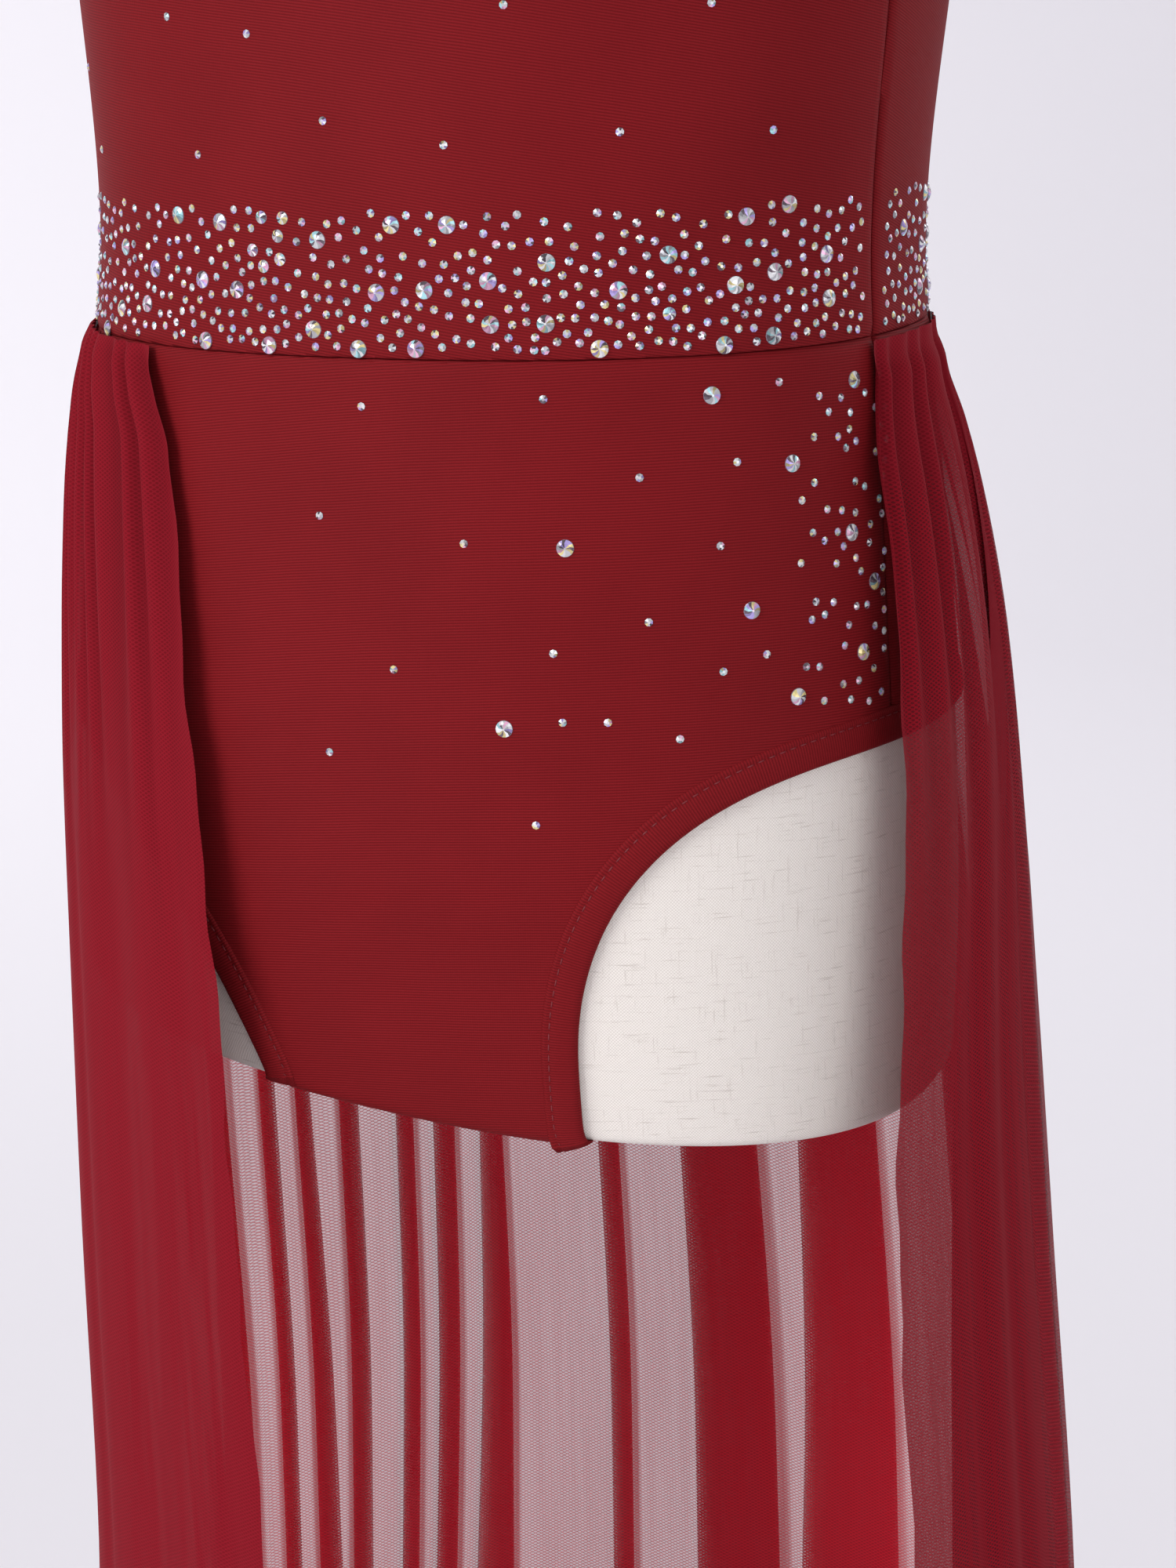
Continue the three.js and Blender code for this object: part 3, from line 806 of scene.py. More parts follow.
def skirt_path(z, stretch, part):
    """Share of the way round, the share where the fold puts it, and how far in, of points given
    by stretch and part of it. Even stretches are plain cloth, odd ones are folds."""
    further = drift_at(z)
    grown = from_waist(z, "folds")
    mouth = folds["mouth_at"] + folds["mouth_drift"] * further
    tip = folds["tip_at"] + folds["tip_drift"] * further
    count = len(FOLDS)
    stops = np.zeros((len(z), 2 * count + 2))
    stops[:, 1:-1:2] = mouth - folds["mouth"] / 2
    stops[:, 2:-1:2] = mouth + folds["mouth"] / 2
    stops[:, -1] = 1
    share = stops[:, stretch] + part * (stops[:, stretch + 1] - stops[:, stretch])
    fold = np.minimum(stretch // 2, count - 1)
    bump = np.where(stretch % 2 == 1, np.sin(math.pi * part) ** 2, 0)
    nearest = [np.interp(row, at, np.arange(count)) for row, at in zip(share, mouth)]
    hollow = FOLD_SWELL * (0.5 + 0.5 * np.cos(TAU * np.array(nearest))) * grown
    hollow = hollow + RIGHT_SET_IN * round_from(share, "set_in") * from_waist(z, "set_in")
    proud = round_from(share, "proud") * (1 - round_from(share, "proud_ends"))
    proud = proud * from_waist(z, "proud") * (1 - from_waist(z, "proud_ends"))
    hollow = hollow - LEFT_PROUD * proud
    for at, deep, half, drift in zip(*troughs.values()):
        reach = (share - at - drift * further) / half
        hollow = hollow + deep * np.exp(-(reach ** 2)) * from_waist(z, "troughs")
    turned = share + ((tip - mouth) * grown)[:, fold] * bump
    return share, turned, hollow + (folds["deep"] * grown)[:, fold] * bump


def gather_wave(share):
    """1 on top of a gather and 0 between two."""
    uneven = share + 0.006 * np.sin(43 * share) + 0.0035 * np.sin(117 * share) + GATHER_PITCH / 2
    return 0.5 - 0.5 * np.cos(TAU * uneven / GATHER_PITCH)


def skirt_surface(z, stretch, part):
    """The mesh's points for an array of heights, one row each."""
    share, turned, inward = skirt_path(z, stretch, part)
    gather = (0.3 + 0.7 * from_waist(z, "gathers")) * (1 - from_waist(z, "gathers_end"))
    hug = 1 - from_waist(z, "hug_ends")
    near_edge = np.exp(-share / EDGE_WIDE) + np.exp(-(1 - share) / EDGE_WIDE)
    near_edge = near_edge * from_waist(z, "waver")
    z = z[:, None] + 0 * share
    start = left_edge(z)
    sweep = 360 + right_edge(z) - start
    waver = np.sin(z / 9.0) + 0.6 * np.sin(z / 4.3 + 1) + 0.8 * np.sin(z / 23.0 + 2)
    degrees = start + sweep * turned + EDGE_WAVER * waver * near_edge
    x, y, nx, ny = skirt_limit(degrees, z)
    keep = CLOTH_OUT + np.where(z > 800, 0.35, 1.6)
    room = room_inside(x, y, nx, ny, z, keep)
    small = gather_wave(share)
    close = np.maximum(room - GATHER_RISE * gather * small ** 0.8, 0)
    loose = np.minimum(inward + GATHER_RISE * gather * (1 - small), room)
    inward = close * hug + loose * (1 - hug)
    px, py = x - nx * inward, y - ny * inward
    lift = (waist_height(px) - WAIST_Z) * np.clip(1 - (WAIST_Z - z) / 2, 0, 1)
    return np.stack([px, py, z + lift], -1)


def skirt_columns():
    """Columns of the mesh, spaced evenly along the cloth at the level of the lower folds."""
    stretches = []
    parts = []
    fine = np.linspace(0, 1, 400)
    for stretch in range(2 * len(FOLDS) + 1):
        line = skirt_surface(np.array([float(SPREAD_END)]), np.full(len(fine), stretch), fine)[0]
        long = along_line(line)
        count = max(4, round(long[-1] / COLUMN_STEP))
        even = np.linspace(0, long[-1], count + 1)[0 if stretch == 0 else 1:]
        parts.append(np.interp(even, long, fine))
        stretches.append(np.full(len(even), stretch))
    return np.concatenate(stretches), np.concatenate(parts)


def net_colour(z, stretch, part):
    """What the mesh's material reads at each point: the share of thread, how far the place takes the darker
    front colour over the back's brighter painted backlight, and the painted shade between two gathers."""
    share = skirt_path(z, stretch, part)[0]
    in_fold = stretch % 2 == 1
    left = 1 - 0.5 * round_from(share, "left_opens") - 0.5 * round_from(share, "left_open")
    right = round_from(share, "right_closes")
    right = right * (1 - 0.1 * ramp(z, *HEIGHTS["right_closes"])[:, None])
    from_tip = np.where(in_fold, np.abs(2 * part - 1), 1)
    fold = ramp(from_tip, 1, 0.8) * from_waist(z, "folds")
    waist = ramp(z, *HEIGHTS["waist"])[:, None] + 0 * share
    back = NET_COVER["back"]
    amounts = {"front_left": left, "front_right": right, "fold": fold, "waist": waist}
    closer = [amount * (NET_COVER[part_of] - back) for part_of, amount in amounts.items()]
    fold_depth = folds["deep"][np.minimum(stretch // 2, len(FOLDS) - 1)]
    tip = fold * np.exp(-((from_tip * fold_depth / 1.35) ** 2)) * (1 - left) * (1 - right)
    cover = back + np.max(closer, axis=0) - NET_COVER["tip"] * tip
    # front: 1 takes the darker front colour, 0 the brighter far colour that is painted backlight
    front = 1 - round_from(share, "back") * (1 - round_from(share, "back_ends"))
    # painted shade: a little of the darker front colour inside the back's folds
    front = np.maximum(front, 0.08 * np.where(in_fold, np.sin(math.pi * part) ** 0.5, 0))
    # painted shade between the gathers, fading out down the skirt and at its front edges
    gather_shade = (1 - gather_wave(share)) ** 2 * from_waist(z, "shade")
    gather_shade = gather_shade * (1 - from_waist(z, "shade_ends"))
    gather_shade = gather_shade * (1 - np.exp(-((share / 0.012) ** 2)) - np.exp(-(((1 - share) / 0.012) ** 2)))
    return np.stack([cover, front, gather_shade, 1 + 0 * cover], -1)


def build_skirt():
    """The gathered mesh and its hem's length."""
    stretch, part = skirt_columns()
    heights = rows_through((WAIST_Z - 0.3, 26), (826, 34), (640, 31), (HEM_Z, 0))
    surface = skirt_surface(heights, stretch, part)
    rows, columns = surface.shape[:2]
    along = along_line(surface[-1])
    uv = np.stack([np.broadcast_to(along, (rows, columns)), surface[..., 2]], -1)
    faces = [tuple(reversed(face)) for face in grid_faces(rows, columns)]
    piece = add_mesh("skirt_mesh", surface.reshape(-1, 3), faces, uv=uv.reshape(-1, 2))
    layer = piece.data.color_attributes.new("net", "FLOAT_COLOR", "POINT")
    layer.data.foreach_set("color", net_colour(heights, stretch, part).astype(np.float32).ravel())
    return piece, along[-1]


# Dress form

def build_form():
    """The linen covered torso, closed at its flat underside and at the neck's top."""
    levels = rows_through((-1.98, 14), (-1, 6), (0, 150), (1, 6), (2, 11), (2.98, 0))
    turn, level = np.meshgrid(np.linspace(0, TAU, 180, endpoint=False), levels)
    point = capped_surface(turn, level)[0]
    rows, columns = turn.shape
    side = side_surface(turn, point[..., 2])[0]
    inward = np.linalg.norm(point[..., :2] - side[..., :2], axis=-1)
    v = point[..., 2] + np.where(level < 0, -inward, inward)
    points = [*point.reshape(-1, 3), (0, 0, CUT_Z), (0, 0, NECK_TOP)]
    uv = [*np.stack([along_line(point), v], -1).reshape(-1, 2), (0, CUT_Z), (0, NECK_TOP)]
    faces = grid_faces(rows, columns, closed=True)
    low, high = rows * columns, rows * columns + 1
    last = (rows - 1) * columns
    for i in range(columns):
        j = (i + 1) % columns
        faces.append((low, j, i))
        faces.append((high, last + i, last + j))
    return add_mesh("linen_form", points, faces, uv=uv)


# Camera

def camera_axes():
    """The camera's place in the building frame, and its right, up and forward."""
    azimuth = math.radians(CAMERA_AZIMUTH)
    out = np.array([math.sin(azimuth), -math.cos(azimuth), 0.0])
    look = azimuth - math.radians(LOOK_ASIDE)
    level = np.array([-math.sin(look), math.cos(look), 0.0])
    right = np.array([math.cos(look), math.sin(look), 0.0])
    tilt = math.radians(CAMERA_TILT)
    forward = level * math.cos(tilt) - UP * math.sin(tilt)
    up = level * math.sin(tilt) + UP * math.cos(tilt)
    return out * CAMERA_DISTANCE + UP * CAMERA_HEIGHT, right, up, forward


def build_camera():
    place, right, up, forward = camera_axes()
    data = bpy.data.cameras.new("camera")
    data.lens = LENS
    data.sensor_width = SENSOR
    data.sensor_fit = "AUTO"
    data.clip_start = 0.05
    data.clip_end = 60
    camera = new_object("camera", data)
    turn = Matrix([list(right), list(up), list(-forward)]).transposed().to_4x4()
    where = Vector(place) * MM + Vector((AXIS_X, AXIS_Y, 0))
    camera.matrix_world = Matrix.Translation(where) @ turn
    bpy.context.scene.camera = camera


def seen_on_body(pixel_x, pixel_y):
    """Where the camera's ray through a pixel of the photograph meets the leotard, or None."""
    place, right, up, forward = camera_axes()
    aside = (pixel_x - FRAME_SIZE[0] / 2) / FOCAL
    rise = (FRAME_SIZE[1] / 2 - pixel_y) / FOCAL
    ray = unit(forward + right * aside + up * rise)
    nearest, furthest = 700.0, 1050.0

    def outside(reach):
        return outline_value(*(place + ray * reach), CLOTH_OUT) > 1

    reach = nearest
    while outside(reach):
        reach += 1.0
        if reach > furthest:
            return None
    return place + ray * halve(reach - 1.0, reach, outside, 20)[1]


# Stones

# Facet tints of the stones: painted reflections of their colour-shifting coat, with dark as painted shadow
# facets; silver is also the foil on the back
PALETTE = {
    "white": (0.95, 0.95, 0.97),
    "silver": (0.60, 0.60, 0.64),
    "pink": (0.86, 0.45, 0.66),
    "lilac": (0.50, 0.40, 0.85),
    "gold": (0.88, 0.74, 0.32),
    "aqua": (0.42, 0.78, 0.84),
    "dark": (0.13, 0.09, 0.12),
}
PALETTE_SHARE = {
    "white": 0.22, "silver": 0.20, "pink": 0.12, "lilac": 0.12, "gold": 0.12, "aqua": 0.07, "dark": 0.15,
}
FAVOURED = 0.30          # how much more often a stone has its own cast
# Section of a stone: radius and height as shares of its radius
SMALL_SECTION = ((1.0, 0.02), (0.95, 0.18), (0.36, 0.52))
LARGE_SECTION = ((1.0, 0.02), (0.96, 0.13), (0.60, 0.34), (0.13, 0.45))
STONE_SIZES = {
    "S": {"radius": 1.03, "sides": 8, "section": SMALL_SECTION, "twist": 0.0},
    "M": {"radius": 1.55, "sides": 14, "section": LARGE_SECTION, "twist": 0.5},
    "L": {"radius": 2.08, "sides": 14, "section": LARGE_SECTION, "twist": 0.5},
}
STONE_SINK = 0.05
STONE_CLEAR = 0.2        # cloth kept free round a large stone
# Pixels of the photograph: the large and middling stones of the band, and the loose stones
STONE_COLUMNS = ("x", "y", "size")
BAND_STONES = (
    (226, 274, "L"), (279, 283, "L"), (160, 315, "L"), (197, 343, "L"), (257, 357, "L"),
    (301, 370, "L"), (404, 306, "L"), (187, 388, "L"), (155, 394, "L"), (137, 419, "L"),
    (261, 435, "L"), (342, 441, "L"), (399, 421, "L"), (457, 446, "L"), (127, 349, "L"),
    (123, 301, "L"), (121, 366, "L"), (332, 277, "M"), (359, 278, "M"), (353, 301, "M"),
    (321, 319, "M"), (356, 331, "M"), (335, 340, "M"), (499, 287, "L"), (571, 287, "L"),
    (480, 374, "L"), (542, 371, "L"), (624, 359, "L"), (627, 415, "L"), (699, 335, "L"),
    (698, 414, "L"), (791, 371, "L"), (767, 446, "L"), (531, 446, "L"), (855, 325, "L"),
    (856, 401, "M"), (954, 276, "L"), (1008, 260, "L"), (1055, 324, "L"), (990, 347, "L"),
    (940, 364, "L"), (1058, 381, "L"), (988, 429, "L"), (926, 441, "L"), (1152, 290, "L"),
    (1179, 245, "L"), (1174, 311, "L"), (1172, 366, "L"),
)
LOOSE_STONES = (
    (644, 6, "S"), (211, 21, "S"), (313, 43, "S"), (113, 85, "S"), (411, 154, "S"),
    (251, 197, "S"), (567, 185, "S"), (793, 168, "S"), (988, 165, "S"), (130, 190, "S"),
    (910, 3, "S"), (461, 519, "S"), (695, 510, "S"), (910, 505, "L"), (995, 488, "S"),
    (818, 610, "S"), (942, 590, "S"), (1012, 592, "L"), (407, 658, "S"), (593, 694, "S"),
    (723, 700, "L"), (921, 697, "S"), (1024, 639, "S"), (1023, 719, "S"), (830, 794, "S"),
    (961, 779, "L"), (1042, 768, "S"), (503, 854, "S"), (708, 834, "S"), (980, 835, "S"),
    (925, 857, "S"), (1020, 889, "L"), (645, 930, "L"), (720, 922, "S"), (778, 922, "S"),
    (870, 943, "S"), (420, 959, "S"), (686, 1053, "S"), (1090, 485, "L"), (1087, 680, "L"),
    (1116, 742, "L"), (1102, 832, "L"),
)
# The cluster below the seam: the pixels that it lies between, its small stones, their spacing
CLUSTER = {"left": 1030, "right": 1132, "top": 470, "bottom": 895, "count": 58, "spacing": 3.6}
BAND_HEIGHT = {"low": 3.0, "high": 32.0}
BAND_SPACING = {"low": 2.75, "high": 3.75}
BAND_SIDE_GAP = 5.0
BAND_TRIES = {"L": 260, "S": 24000}
LARGE_SPACING = 10.0
LARGE_BEHIND = (98, 296)           # degrees between which the band's large stones aren't seen
# Loose stones out of the camera's view, and the share of them that is large
HIDDEN_LOOSE = {"count": 26, "low": 930, "high": 1095, "spacing": 16.0, "large": 0.2}
SEEN = {"degrees": 75, "top": 960}    # how far round and how high the camera sees the bodice
MOST_TRIES = 4000
rng = np.random.default_rng(71)


def place_stone(point, size):
    """A stone lying on the cloth at a point near it."""
    base = snap_to_body(np.asarray(point, float)[None])[0]
    normal = body_normal(base[None])[0]
    return {"centre": base + normal * (CLOTH_OUT - STONE_SINK), "normal": normal, "size": size}


def seen_stones(rows):
    """The stones of a table, where the photograph shows them on the cloth."""
    placed = []
    for row in rows:
        stone = dict(zip(STONE_COLUMNS, row))
        hit = seen_on_body(stone["x"], stone["y"])
        if hit is not None:
            placed.append(place_stone(hit, stone["size"]))
    return placed


def far_from(point, others, spacing):
    """True if a point keeps clear of every stone already placed."""
    if not others:
        return True
    where = np.array([stone["centre"] for stone in others])
    reach = np.array([STONE_SIZES[stone["size"]]["radius"] for stone in others])
    gap = np.linalg.norm(where - point, axis=1)
    return bool((gap > spacing / 2 + np.maximum(reach + STONE_CLEAR, spacing / 2)).all())


def band_tries(count, turn, inset):
    """Seeded places on the cloth in the band, within a range of angles."""
    angle = rng.uniform(*turn, count)
    height = rng.uniform(BAND_HEIGHT["low"] + inset, BAND_HEIGHT["high"] - inset, count)
    point, normal = side_surface(angle, WAIST_Z + height)
    point[:, 2] = waist_height(point[:, 0]) + height
    return point + normal * CLOTH_OUT


def band_stones():
    """The band round the waist: the seen large stones, more like them behind, small ones between."""
    placed = seen_stones(BAND_STONES)
    for place in band_tries(BAND_TRIES["L"], np.radians(LARGE_BEHIND), 2.0):
        if far_from(place, placed, LARGE_SPACING):
            placed.append(place_stone(place, "L"))
    for place in band_tries(BAND_TRIES["S"], (0, TAU), -1.0):
        rise = (place[2] - waist_height(place[0])) / BAND_HEIGHT["high"]
        spacing = BAND_SPACING["low"] + (BAND_SPACING["high"] - BAND_SPACING["low"]) * rise
        if abs(side_seam(place)) > BAND_SIDE_GAP and far_from(place, placed, spacing):
            placed.append(place_stone(place, "S"))
    return placed


def loose_stones():
    """The single stones above and below the band, with the cluster by the skirt's left edge."""
    placed = seen_stones(LOOSE_STONES)

    def in_cluster():
        x = CLUSTER["right"] - (CLUSTER["right"] - CLUSTER["left"]) * rng.random() ** 1.5
        y = rng.uniform(CLUSTER["top"], CLUSTER["bottom"])
        return place_stone(seen_on_body(x, y), "S")

    def out_of_view():
        degrees = rng.uniform(-140, 220)
        z = rng.uniform(HIDDEN_LOOSE["low"], HIDDEN_LOOSE["high"])
        point = side_surface(math.radians(degrees), z)[0]
        size = "L" if rng.random() < HIDDEN_LOOSE["large"] else "S"
        shown = abs(degrees) < SEEN["degrees"] and z < SEEN["top"]
        clear = all(limit(point) > 0.2 for limit in OPENINGS)
        return place_stone(point, size) if clear and not shown else None

    for one_more, wish in ((in_cluster, CLUSTER), (out_of_view, HIDDEN_LOOSE)):
        wanted = len(placed) + wish["count"]
        for _ in range(MOST_TRIES):
            stone = one_more()
            if stone and far_from(stone["centre"], placed, wish["spacing"]):
                placed.append(stone)
            if len(placed) == wanted:
                break
    return placed


def sector_tints(sides, favour):
    """One painted reflection tint for each sector of a stone, leaning to the stone's own cast."""
    chance = np.array(list(PALETTE_SHARE.values()))
    chance[favour] += FAVOURED
    picks = rng.choice(len(PALETTE), size=sides, p=chance / chance.sum())
    # painted reflection: a random brightness for each sector
    painted_reflection_level = rng.uniform(0.35, 1.0, sides)
    colours = np.array(list(PALETTE.values()))
    return colours[picks] * painted_reflection_level[:, None]


def build_stones(name, stones):
    """Flat-backed faceted stones in one mesh, with a tint for each facet: painted reflections, paler on
    the top facet, painted shadow on the lowest ring, and the silver foil on the back.
    """
    points = []
    faces = []
    tints = []

    def add_facet(face, tint):
        faces.append(face)
        tints.extend([(*tint, 1.0)] * len(face))

    # painted shadow: the lowest ring of facets is dark where the stone meets the cloth
    painted_girdle_shadow = np.array(PALETTE["dark"]) * 1.6
    for stone in stones:
        kind = STONE_SIZES[stone["size"]]
        sides, section = kind["sides"], kind["section"]
        aside = unit(np.cross(stone["normal"], UP + 0.01))
        up = np.cross(aside, stone["normal"])
        spin = rng.uniform(0, TAU)
        start = len(points)
        for k, (share, height) in enumerate(section):
            twist = kind["twist"] if k == 1 else 0.0
            for i in range(sides):
                turn = spin + TAU * (i + twist) / sides
                flat = (aside * math.cos(turn) + up * math.sin(turn)) * share
                points.append(stone["centre"] + (flat + stone["normal"] * height) * kind["radius"])
        sectors = sector_tints(sides, rng.integers(0, len(PALETTE) - 1))
        for k in range(len(section) - 1):
            low, high = start + k * sides, start + (k + 1) * sides
            for i in range(sides):
                j = (i + 1) % sides
                # painted shadow on the lowest ring, painted reflection on the two above it, the upper one a
                # little darker
                tint = (painted_girdle_shadow, sectors[i], sectors[i] * 0.9)[k]
                add_facet((low + i, low + j, high + j, high + i), tint)
        top = start + (len(section) - 1) * sides
        # top facet: a paler painted reflection
        add_facet(range(top, top + sides), sectors[0] * 0.4 + 0.45)
        add_facet(range(start + sides - 1, start - 1, -1), PALETTE["silver"])
    return add_mesh(name, points, faces, facet=tints)


# Materials

# Ribbed cloth: colour on the ribs' crests, and the darker colour that paints shade in their grooves and also
# tints random darker patches
CLOTH_LIGHT = (0.238, 0.0104, 0.0140)
CLOTH_DARK = (0.100, 0.0038, 0.0056)
RIB_PITCH = 0.66
LOOP_PITCH = 0.55
NET_PITCH = 1.0
THREAD_PITCH = 0.78


class Nodes:
    """Short calls for a material's node tree."""

    def __init__(self, name):
        self.material = bpy.data.materials.new(name)
        self.material.use_nodes = True
        self.tree = self.material.node_tree
        self.tree.nodes.clear()
        self.shader = self.add("ShaderNodeBsdfPrincipled")
        self.put(self.add("ShaderNodeOutputMaterial"), 0, self.shader.outputs[0])

    def add(self, kind, **values):
        node = self.tree.nodes.new(kind)
        for key, value in values.items():
            setattr(node, key, value)
        return node

    def put(self, node, name, value):
        """Sets a socket to a value, or links it where the value is another node's output."""
        if hasattr(value, "is_linked"):
            self.tree.links.new(value, node.inputs[name])
        else:
            node.inputs[name].default_value = value

    def set(self, **values):
        """Sets or links the shader's sockets."""
        for key, value in values.items():
            name = key.replace("_", " ").title().replace("Ior", "IOR")
            self.put(self.shader, name, value)

    def cut(self):
        """Place on the cloth's flat cut in mm, and its two parts."""
        uv = self.add("ShaderNodeUVMap", uv_map="cut").outputs[0]
        return uv, *self.split(uv)[:2]

    def place(self):
        return self.add("ShaderNodeTexCoord").outputs["Object"]

    def layer(self, name):
        return self.add("ShaderNodeVertexColor", layer_name=name).outputs[0]

    def split(self, vector):
        node = self.add("ShaderNodeSeparateXYZ")
        self.put(node, 0, vector)
        return tuple(node.outputs)

    def math(self, operation, a, b=0.0, clamp=False):
        node = self.add("ShaderNodeMath", operation=operation, use_clamp=clamp)
        self.put(node, 0, a)
        self.put(node, 1, b)
        return node.outputs[0]

    def plus(self, a, b):
        return self.math("ADD", a, b)

    def times(self, a, b):
        return self.math("MULTIPLY", a, b)

    def wave(self, value, pitch):
        return self.math("SINE", self.times(value, TAU / pitch))

    def noise(self, vector, scale, detail, rough=0.5):
        """Noise over a place that is scaled along each axis."""
        scaled = self.add("ShaderNodeVectorMath", operation="MULTIPLY")
        self.put(scaled, 0, vector)
        self.put(scaled, 1, scale)
        node = self.add("ShaderNodeTexNoise")
        self.put(node, "Vector", scaled.outputs[0])
        self.put(node, "Scale", 1.0)
        self.put(node, "Detail", detail)
        self.put(node, "Roughness", rough)
        return node.outputs["Fac"]

    def mix(self, share, a, b):
        """Colour a where share is 0 and b where it is 1."""
        node = self.add("ShaderNodeMix", data_type="RGBA")
        self.put(node, 0, share)
        for k, colour in ((6, a), (7, b)):
            self.put(node, k, colour if hasattr(colour, "is_linked") else (*colour, 1.0))
        return node.outputs[2]

    def map(self, value, low, high, to_low, to_high):
        """A smooth change from to_low at low to to_high at high."""
        node = self.add("ShaderNodeMapRange", interpolation_type="SMOOTHSTEP")
        for k, number in enumerate((value, low, high, to_low, to_high)):
            self.put(node, k, number)
        return node.outputs[0]

    def bump(self, height, strength, distance):
        node = self.add("ShaderNodeBump")
        self.put(node, "Strength", strength)
        self.put(node, "Distance", distance)
        self.put(node, "Height", height)
        self.set(normal=node.outputs[0])


def ribbed_cloth():
    """Fine ribbed stretch knit: rounded ribs with painted shade in their grooves, stitches along them,
    bright specks of painted glint, soft sheen.
    """
    n = Nodes("ribbed_cloth")
    uv, u, v = n.cut()
    wander = n.noise(uv, (0.02, 0.05, 1), 2.0)
    rib = n.wave(n.plus(v, n.times(wander, 1.2)), RIB_PITCH)
    rib = n.plus(n.times(rib, 0.5), 0.5)
    stitch = n.wave(u, LOOP_PITCH)
    fine = n.noise(uv, (3.2, 6.0, 1), 3.0, 0.7)
    patch = n.noise(uv, (0.03, 0.03, 1), 3.0)
    # painted glints: bright specks where the fine noise is high
    painted_glint = tuple(1.9 * part + 0.02 for part in CLOTH_LIGHT)
    # painted shade: darker in the ribs' grooves, with a fine random tone
    base = n.mix(n.plus(n.times(rib, 0.66), n.times(fine, 0.50)), CLOTH_DARK, CLOTH_LIGHT)
    base = n.mix(n.map(fine, 0.60, 0.78, 0.0, 0.4), base, painted_glint)
    base = n.mix(n.map(patch, 0.3, 0.7, 0.0, 0.16), base, CLOTH_DARK)
    n.bump(n.plus(n.plus(rib, n.times(stitch, 0.10)), n.times(fine, 0.5)), 0.55, 0.00012)
    n.set(base_color=base, roughness=0.6, specular_ior_level=0.06)
    n.set(sheen_weight=0.03, sheen_roughness=0.4, sheen_tint=(0.9, 0.25, 0.25, 1))
    return n.material


def sheer_mesh():
    """Fine stretch net with small holes in staggered rows, closer where it is gathered, brighter at the
    back as painted backlight, with painted shade between the gathers.
    """
    n = Nodes("sheer_mesh")
    uv, u, v = n.cut()
    cover, front, gather_shade = n.split(n.layer("net"))
    rise = n.wave(n.plus(n.times(u, 0.5), v), 2 * NET_PITCH)
    fall = n.wave(n.math("SUBTRACT", n.times(u, 0.5), v), 2 * NET_PITCH)
    net = n.map(n.math("ABSOLUTE", n.times(rise, fall)), 0.05, 0.75, 1.0, 0.0)
    streak = n.noise(uv, (0.25, 0.012, 1), 3.0, 0.6)
    cover = n.plus(cover, n.map(streak, 0.3, 0.7, -0.02, 0.02))
    open_part = n.times(n.math("SUBTRACT", 1.0, cover), n.math("SUBTRACT", 1.55, net))
    near = n.mix(net, (0.174, 0.0050, 0.0108), (0.246, 0.0075, 0.0165))
    # painted shade: darker thread colour between the gathers
    near = n.mix(n.times(gather_shade, 0.40), near, (0.060, 0.0022, 0.0045))
    # far: the back's brighter colour, painted backlight that stands for light shining through the net from
    # behind
    far = n.mix(net, (0.530, 0.0105, 0.0260), (0.720, 0.0150, 0.0370))
    n.bump(net, 0.4, 0.0001)
    n.set(alpha=n.math("SUBTRACT", 1.0, open_part, clamp=True), base_color=n.mix(front, far, near))
    n.set(roughness=0.75, specular_ior_level=0.06)
    n.set(sheen_weight=0.02, sheen_roughness=0.5, sheen_tint=(0.9, 0.15, 0.2, 1))
    return n.material


def linen():
    """Natural linen: plain weave with slubs in both directions, warm pale grey."""
    n = Nodes("linen")
    uv, u, v = n.cut()
    bend = n.noise(uv, (0.12, 0.12, 1), 2.0)
    warp = n.wave(n.plus(u, n.times(bend, 0.9)), THREAD_PITCH)
    weft = n.wave(n.plus(v, n.times(bend, -0.9)), THREAD_PITCH)
    weave = n.map(n.times(warp, weft), -0.8, 0.8, 0.0, 1.0)
    slub_across = n.noise(uv, (0.10, 1.25, 1), 3.0, 0.65)
    slub_up = n.noise(uv, (1.25, 0.10, 1), 3.0, 0.65)
    speck = n.noise(uv, (1.6, 1.6, 1), 4.0, 0.7)
    base = n.mix(weave, (0.70, 0.645, 0.592), (0.90, 0.852, 0.795))
    base = n.mix(n.map(slub_across, 0.56, 0.74, 0.0, 0.55), base, (0.50, 0.44, 0.39))
    base = n.mix(n.map(slub_up, 0.57, 0.74, 0.0, 0.45), base, (0.52, 0.46, 0.41))
    base = n.mix(n.map(speck, 0.62, 0.78, 0.0, 0.5), base, (0.92, 0.90, 0.87))
    slubs = n.plus(n.times(weave, 0.6), n.times(slub_across, 0.8))
    n.bump(n.plus(slubs, n.times(slub_up, 0.8)), 0.5, 0.0002)
    n.set(base_color=base, roughness=0.9, specular_ior_level=0.2)
    n.set(sheen_weight=0.1, sheen_roughness=0.6)
    return n.material


def stone_glass():
    """Foiled clear stone with a colour-shifting coat, painted as a fixed reflection tint on each facet,
    with a faint painted glow in the same tint.
    """
    n = Nodes("stone_glass")
    tint = n.layer("facet")
    n.set(base_color=tint, metallic=0.3, roughness=0.14, specular_ior_level=0.8)
    # painted glow: a faint emission in each facet's tint, though the stone is no lamp
    n.set(coat_weight=0.5, coat_roughness=0.03, emission_color=tint, emission_strength=0.05)
    return n.material


def leg_thread():
    n = Nodes("leg_thread")
    twist = n.noise(n.place(), (2500, 2500, 2500), 2.0)
    n.set(base_color=n.mix(twist, (0.13, 0.009, 0.012), (0.24, 0.02, 0.028)))
    n.set(roughness=0.5, specular_ior_level=0.4)
    return n.material


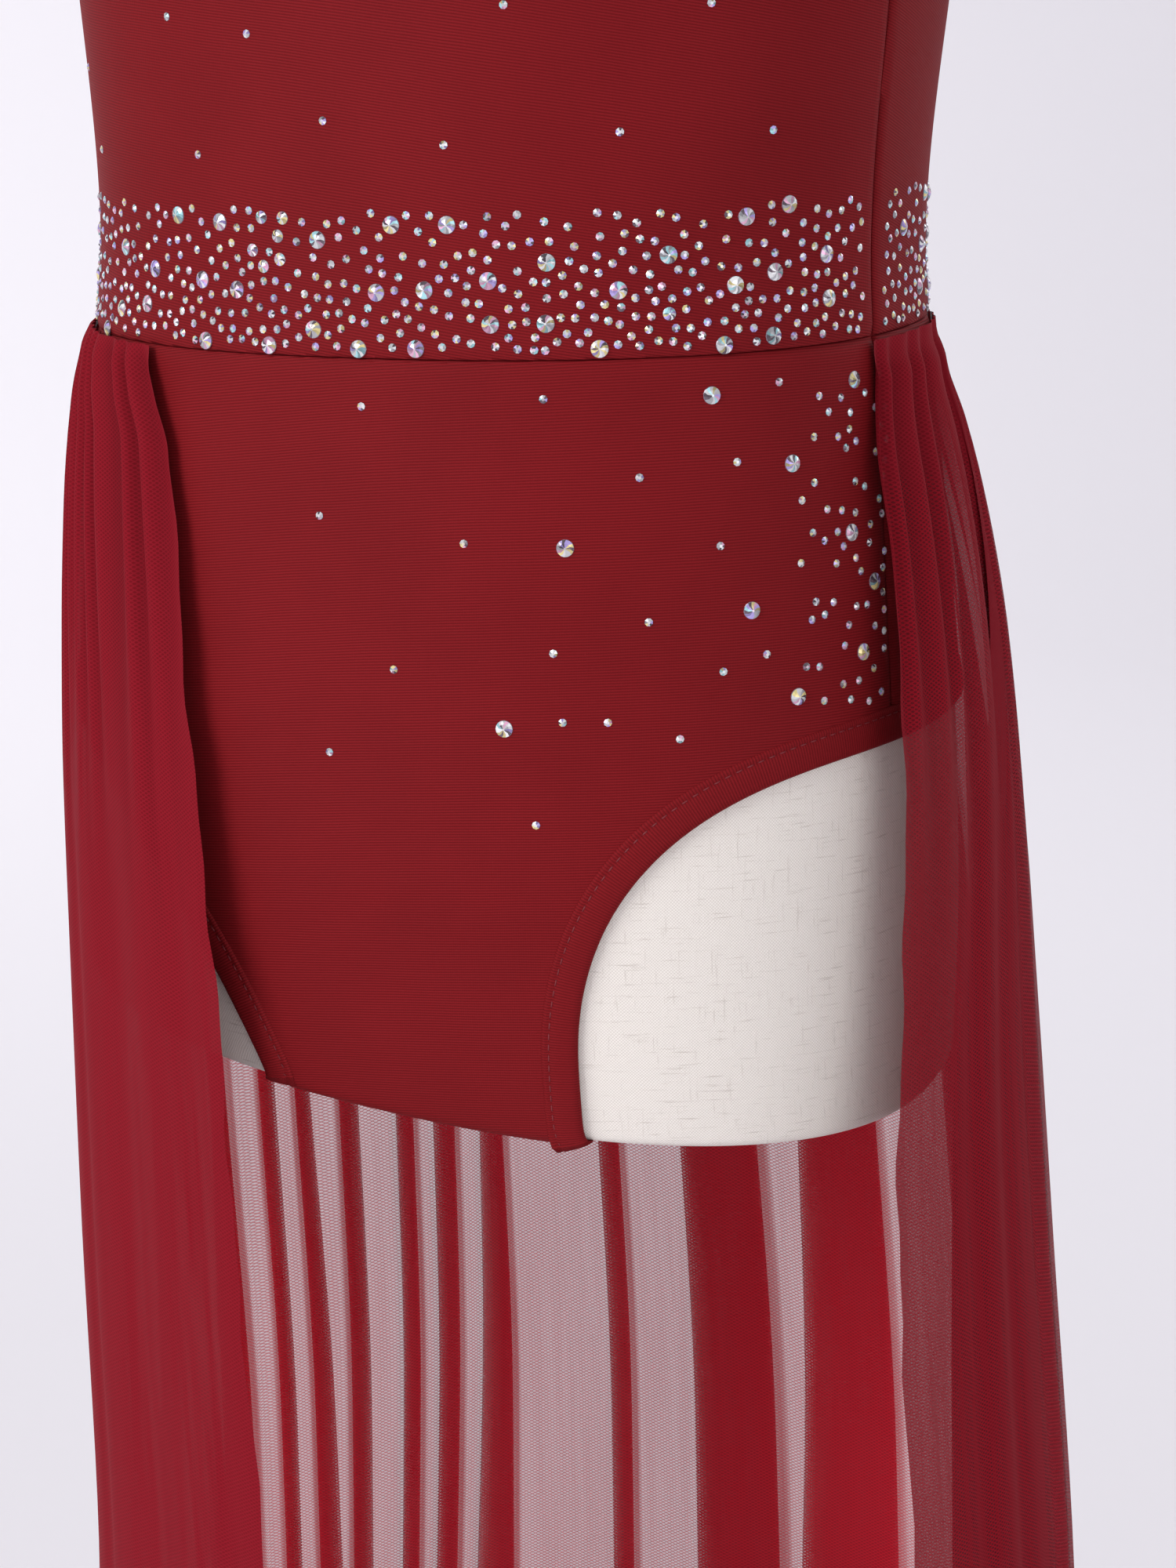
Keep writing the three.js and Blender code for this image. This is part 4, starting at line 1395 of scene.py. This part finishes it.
def painted_metal():
    n = Nodes("painted_metal")
    peel = n.noise(n.place(), (900, 900, 900), 2.0)
    wear = n.noise(n.place(), (14, 14, 14), 4.0, 0.6)
    n.bump(peel, 0.15, 0.0001)
    n.set(base_color=n.mix(wear, (0.74, 0.735, 0.75), (0.83, 0.825, 0.84)))
    n.set(roughness=n.map(wear, 0.2, 0.8, 0.36, 0.5), specular_ior_level=0.5)
    return n.material


def stage_paint():
    n = Nodes("stage_paint")
    soft = n.noise(n.place(), (0.6, 0.6, 0.6), 2.0)
    n.set(base_color=n.mix(soft, (0.78, 0.758, 0.795), (0.81, 0.787, 0.826)))
    n.set(roughness=0.95, specular_ior_level=0.1)
    return n.material


# Stage and light, in metres

STAGE = {"radius": 5.4, "high": 3.4, "corner": 2.0, "sides": 96, "corner_steps": 16}
MIDDLE = (0, 0, 0.8)
LIGHT_COLUMNS = ("name", "place", "target", "size", "watts")
LIGHTS = (
    ("key", (-1.35, -2.25, 2.0), MIDDLE, (1.6, 1.6), 56),
    ("fill", (2.2, -1.6, 1.3), MIDDLE, (1.6, 2.0), 14),
    ("back", (1.6, 2.6, 2.2), MIDDLE, (1.6, 1.6), 16),
    ("wall_wash", (-2.4, 2.0, 2.6), (-2.4, 3.8, 0.2), (2.0, 1.2), 40),
)


def build_stage():
    """A round pale floor that curves up into a wall all the way round the dress."""
    corner, sides, steps = STAGE["corner"], STAGE["sides"], STAGE["corner_steps"]
    flat = STAGE["radius"] - corner
    profile = [(flat * share, 0.0) for share in (0.02, 0.25, 0.5, 0.75)]
    for turn in np.linspace(0, math.pi / 2, steps + 1):
        profile.append((flat + corner * math.sin(turn), corner - corner * math.cos(turn)))
    profile.append((STAGE["radius"], STAGE["high"]))
    points = []
    for reach, height in profile:
        for turn in np.linspace(0, TAU, sides, endpoint=False):
            points.append((reach * math.cos(turn), reach * math.sin(turn), height))
    faces = grid_faces(len(profile), sides, closed=True)
    faces.append(tuple(reversed(range(sides))))
    stage = add_mesh("stage", np.array(points) / MM, [tuple(reversed(face)) for face in faces])
    stage.data.materials.append(stage_paint())


def build_light():
    world = bpy.data.worlds.new("studio")
    world.use_nodes = True
    background = world.node_tree.nodes["Background"]
    background.inputs["Color"].default_value = (0.97, 0.975, 1.0, 1)
    background.inputs["Strength"].default_value = 0.62
    bpy.context.scene.world = world
    for row in LIGHTS:
        lamp = dict(zip(LIGHT_COLUMNS, row))
        data = bpy.data.lights.new(lamp["name"], "AREA")
        data.shape = "RECTANGLE"
        data.size, data.size_y = lamp["size"]
        data.energy = lamp["watts"]
        light = new_object(lamp["name"], data)
        light.location = lamp["place"]
        aim = Vector(lamp["target"]) - Vector(lamp["place"])
        light.rotation_euler = aim.to_track_quat("-Z", "Y").to_euler()
    view = bpy.context.scene.view_settings
    view.view_transform = "Standard"
    view.look = "None"


# The whole

def dress(piece, material, node=None):
    """Gives a piece its material and its body, and hides the CAD node that it stands for, if one is given.
    """
    piece.data.materials.append(material)
    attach(piece, "root")
    if node:
        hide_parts(node)


def paint_node(node, material):
    """Gives a CAD node its finish through its object, so its mesh stays as imported."""
    carried = bpy.data.objects[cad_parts[node].name]
    for place in carried.material_slots:
        place.link = "OBJECT"
        place.material = material


def main():
    ribbed, thread, glass, metal = ribbed_cloth(), leg_thread(), stone_glass(), painted_metal()
    for node, (piece, cut) in build_leotard().items():
        dress(piece, ribbed, node)
    seams, length = build_seams()
    dress(seams, ribbed)
    for side, leg in LEGS.items():
        node = f"leg_band_{side}"
        dress(build_leg_band(f"{node}_cloth", leg), ribbed, node)
        dress(build_stitches(f"leg_stitches_{side}", leg), thread)
    skirt, hem = build_skirt()
    dress(skirt, sheer_mesh(), "skirt")
    dress(build_form(), linen(), "dress_form")
    for name, stones in (("band_stones", band_stones()), ("loose_stones", loose_stones())):
        dress(build_stones(name, stones), glass)
    for node in ("stand_pole", "stand_base"):
        paint_node(node, metal)
    build_stage()
    build_light()
    build_camera()


main()
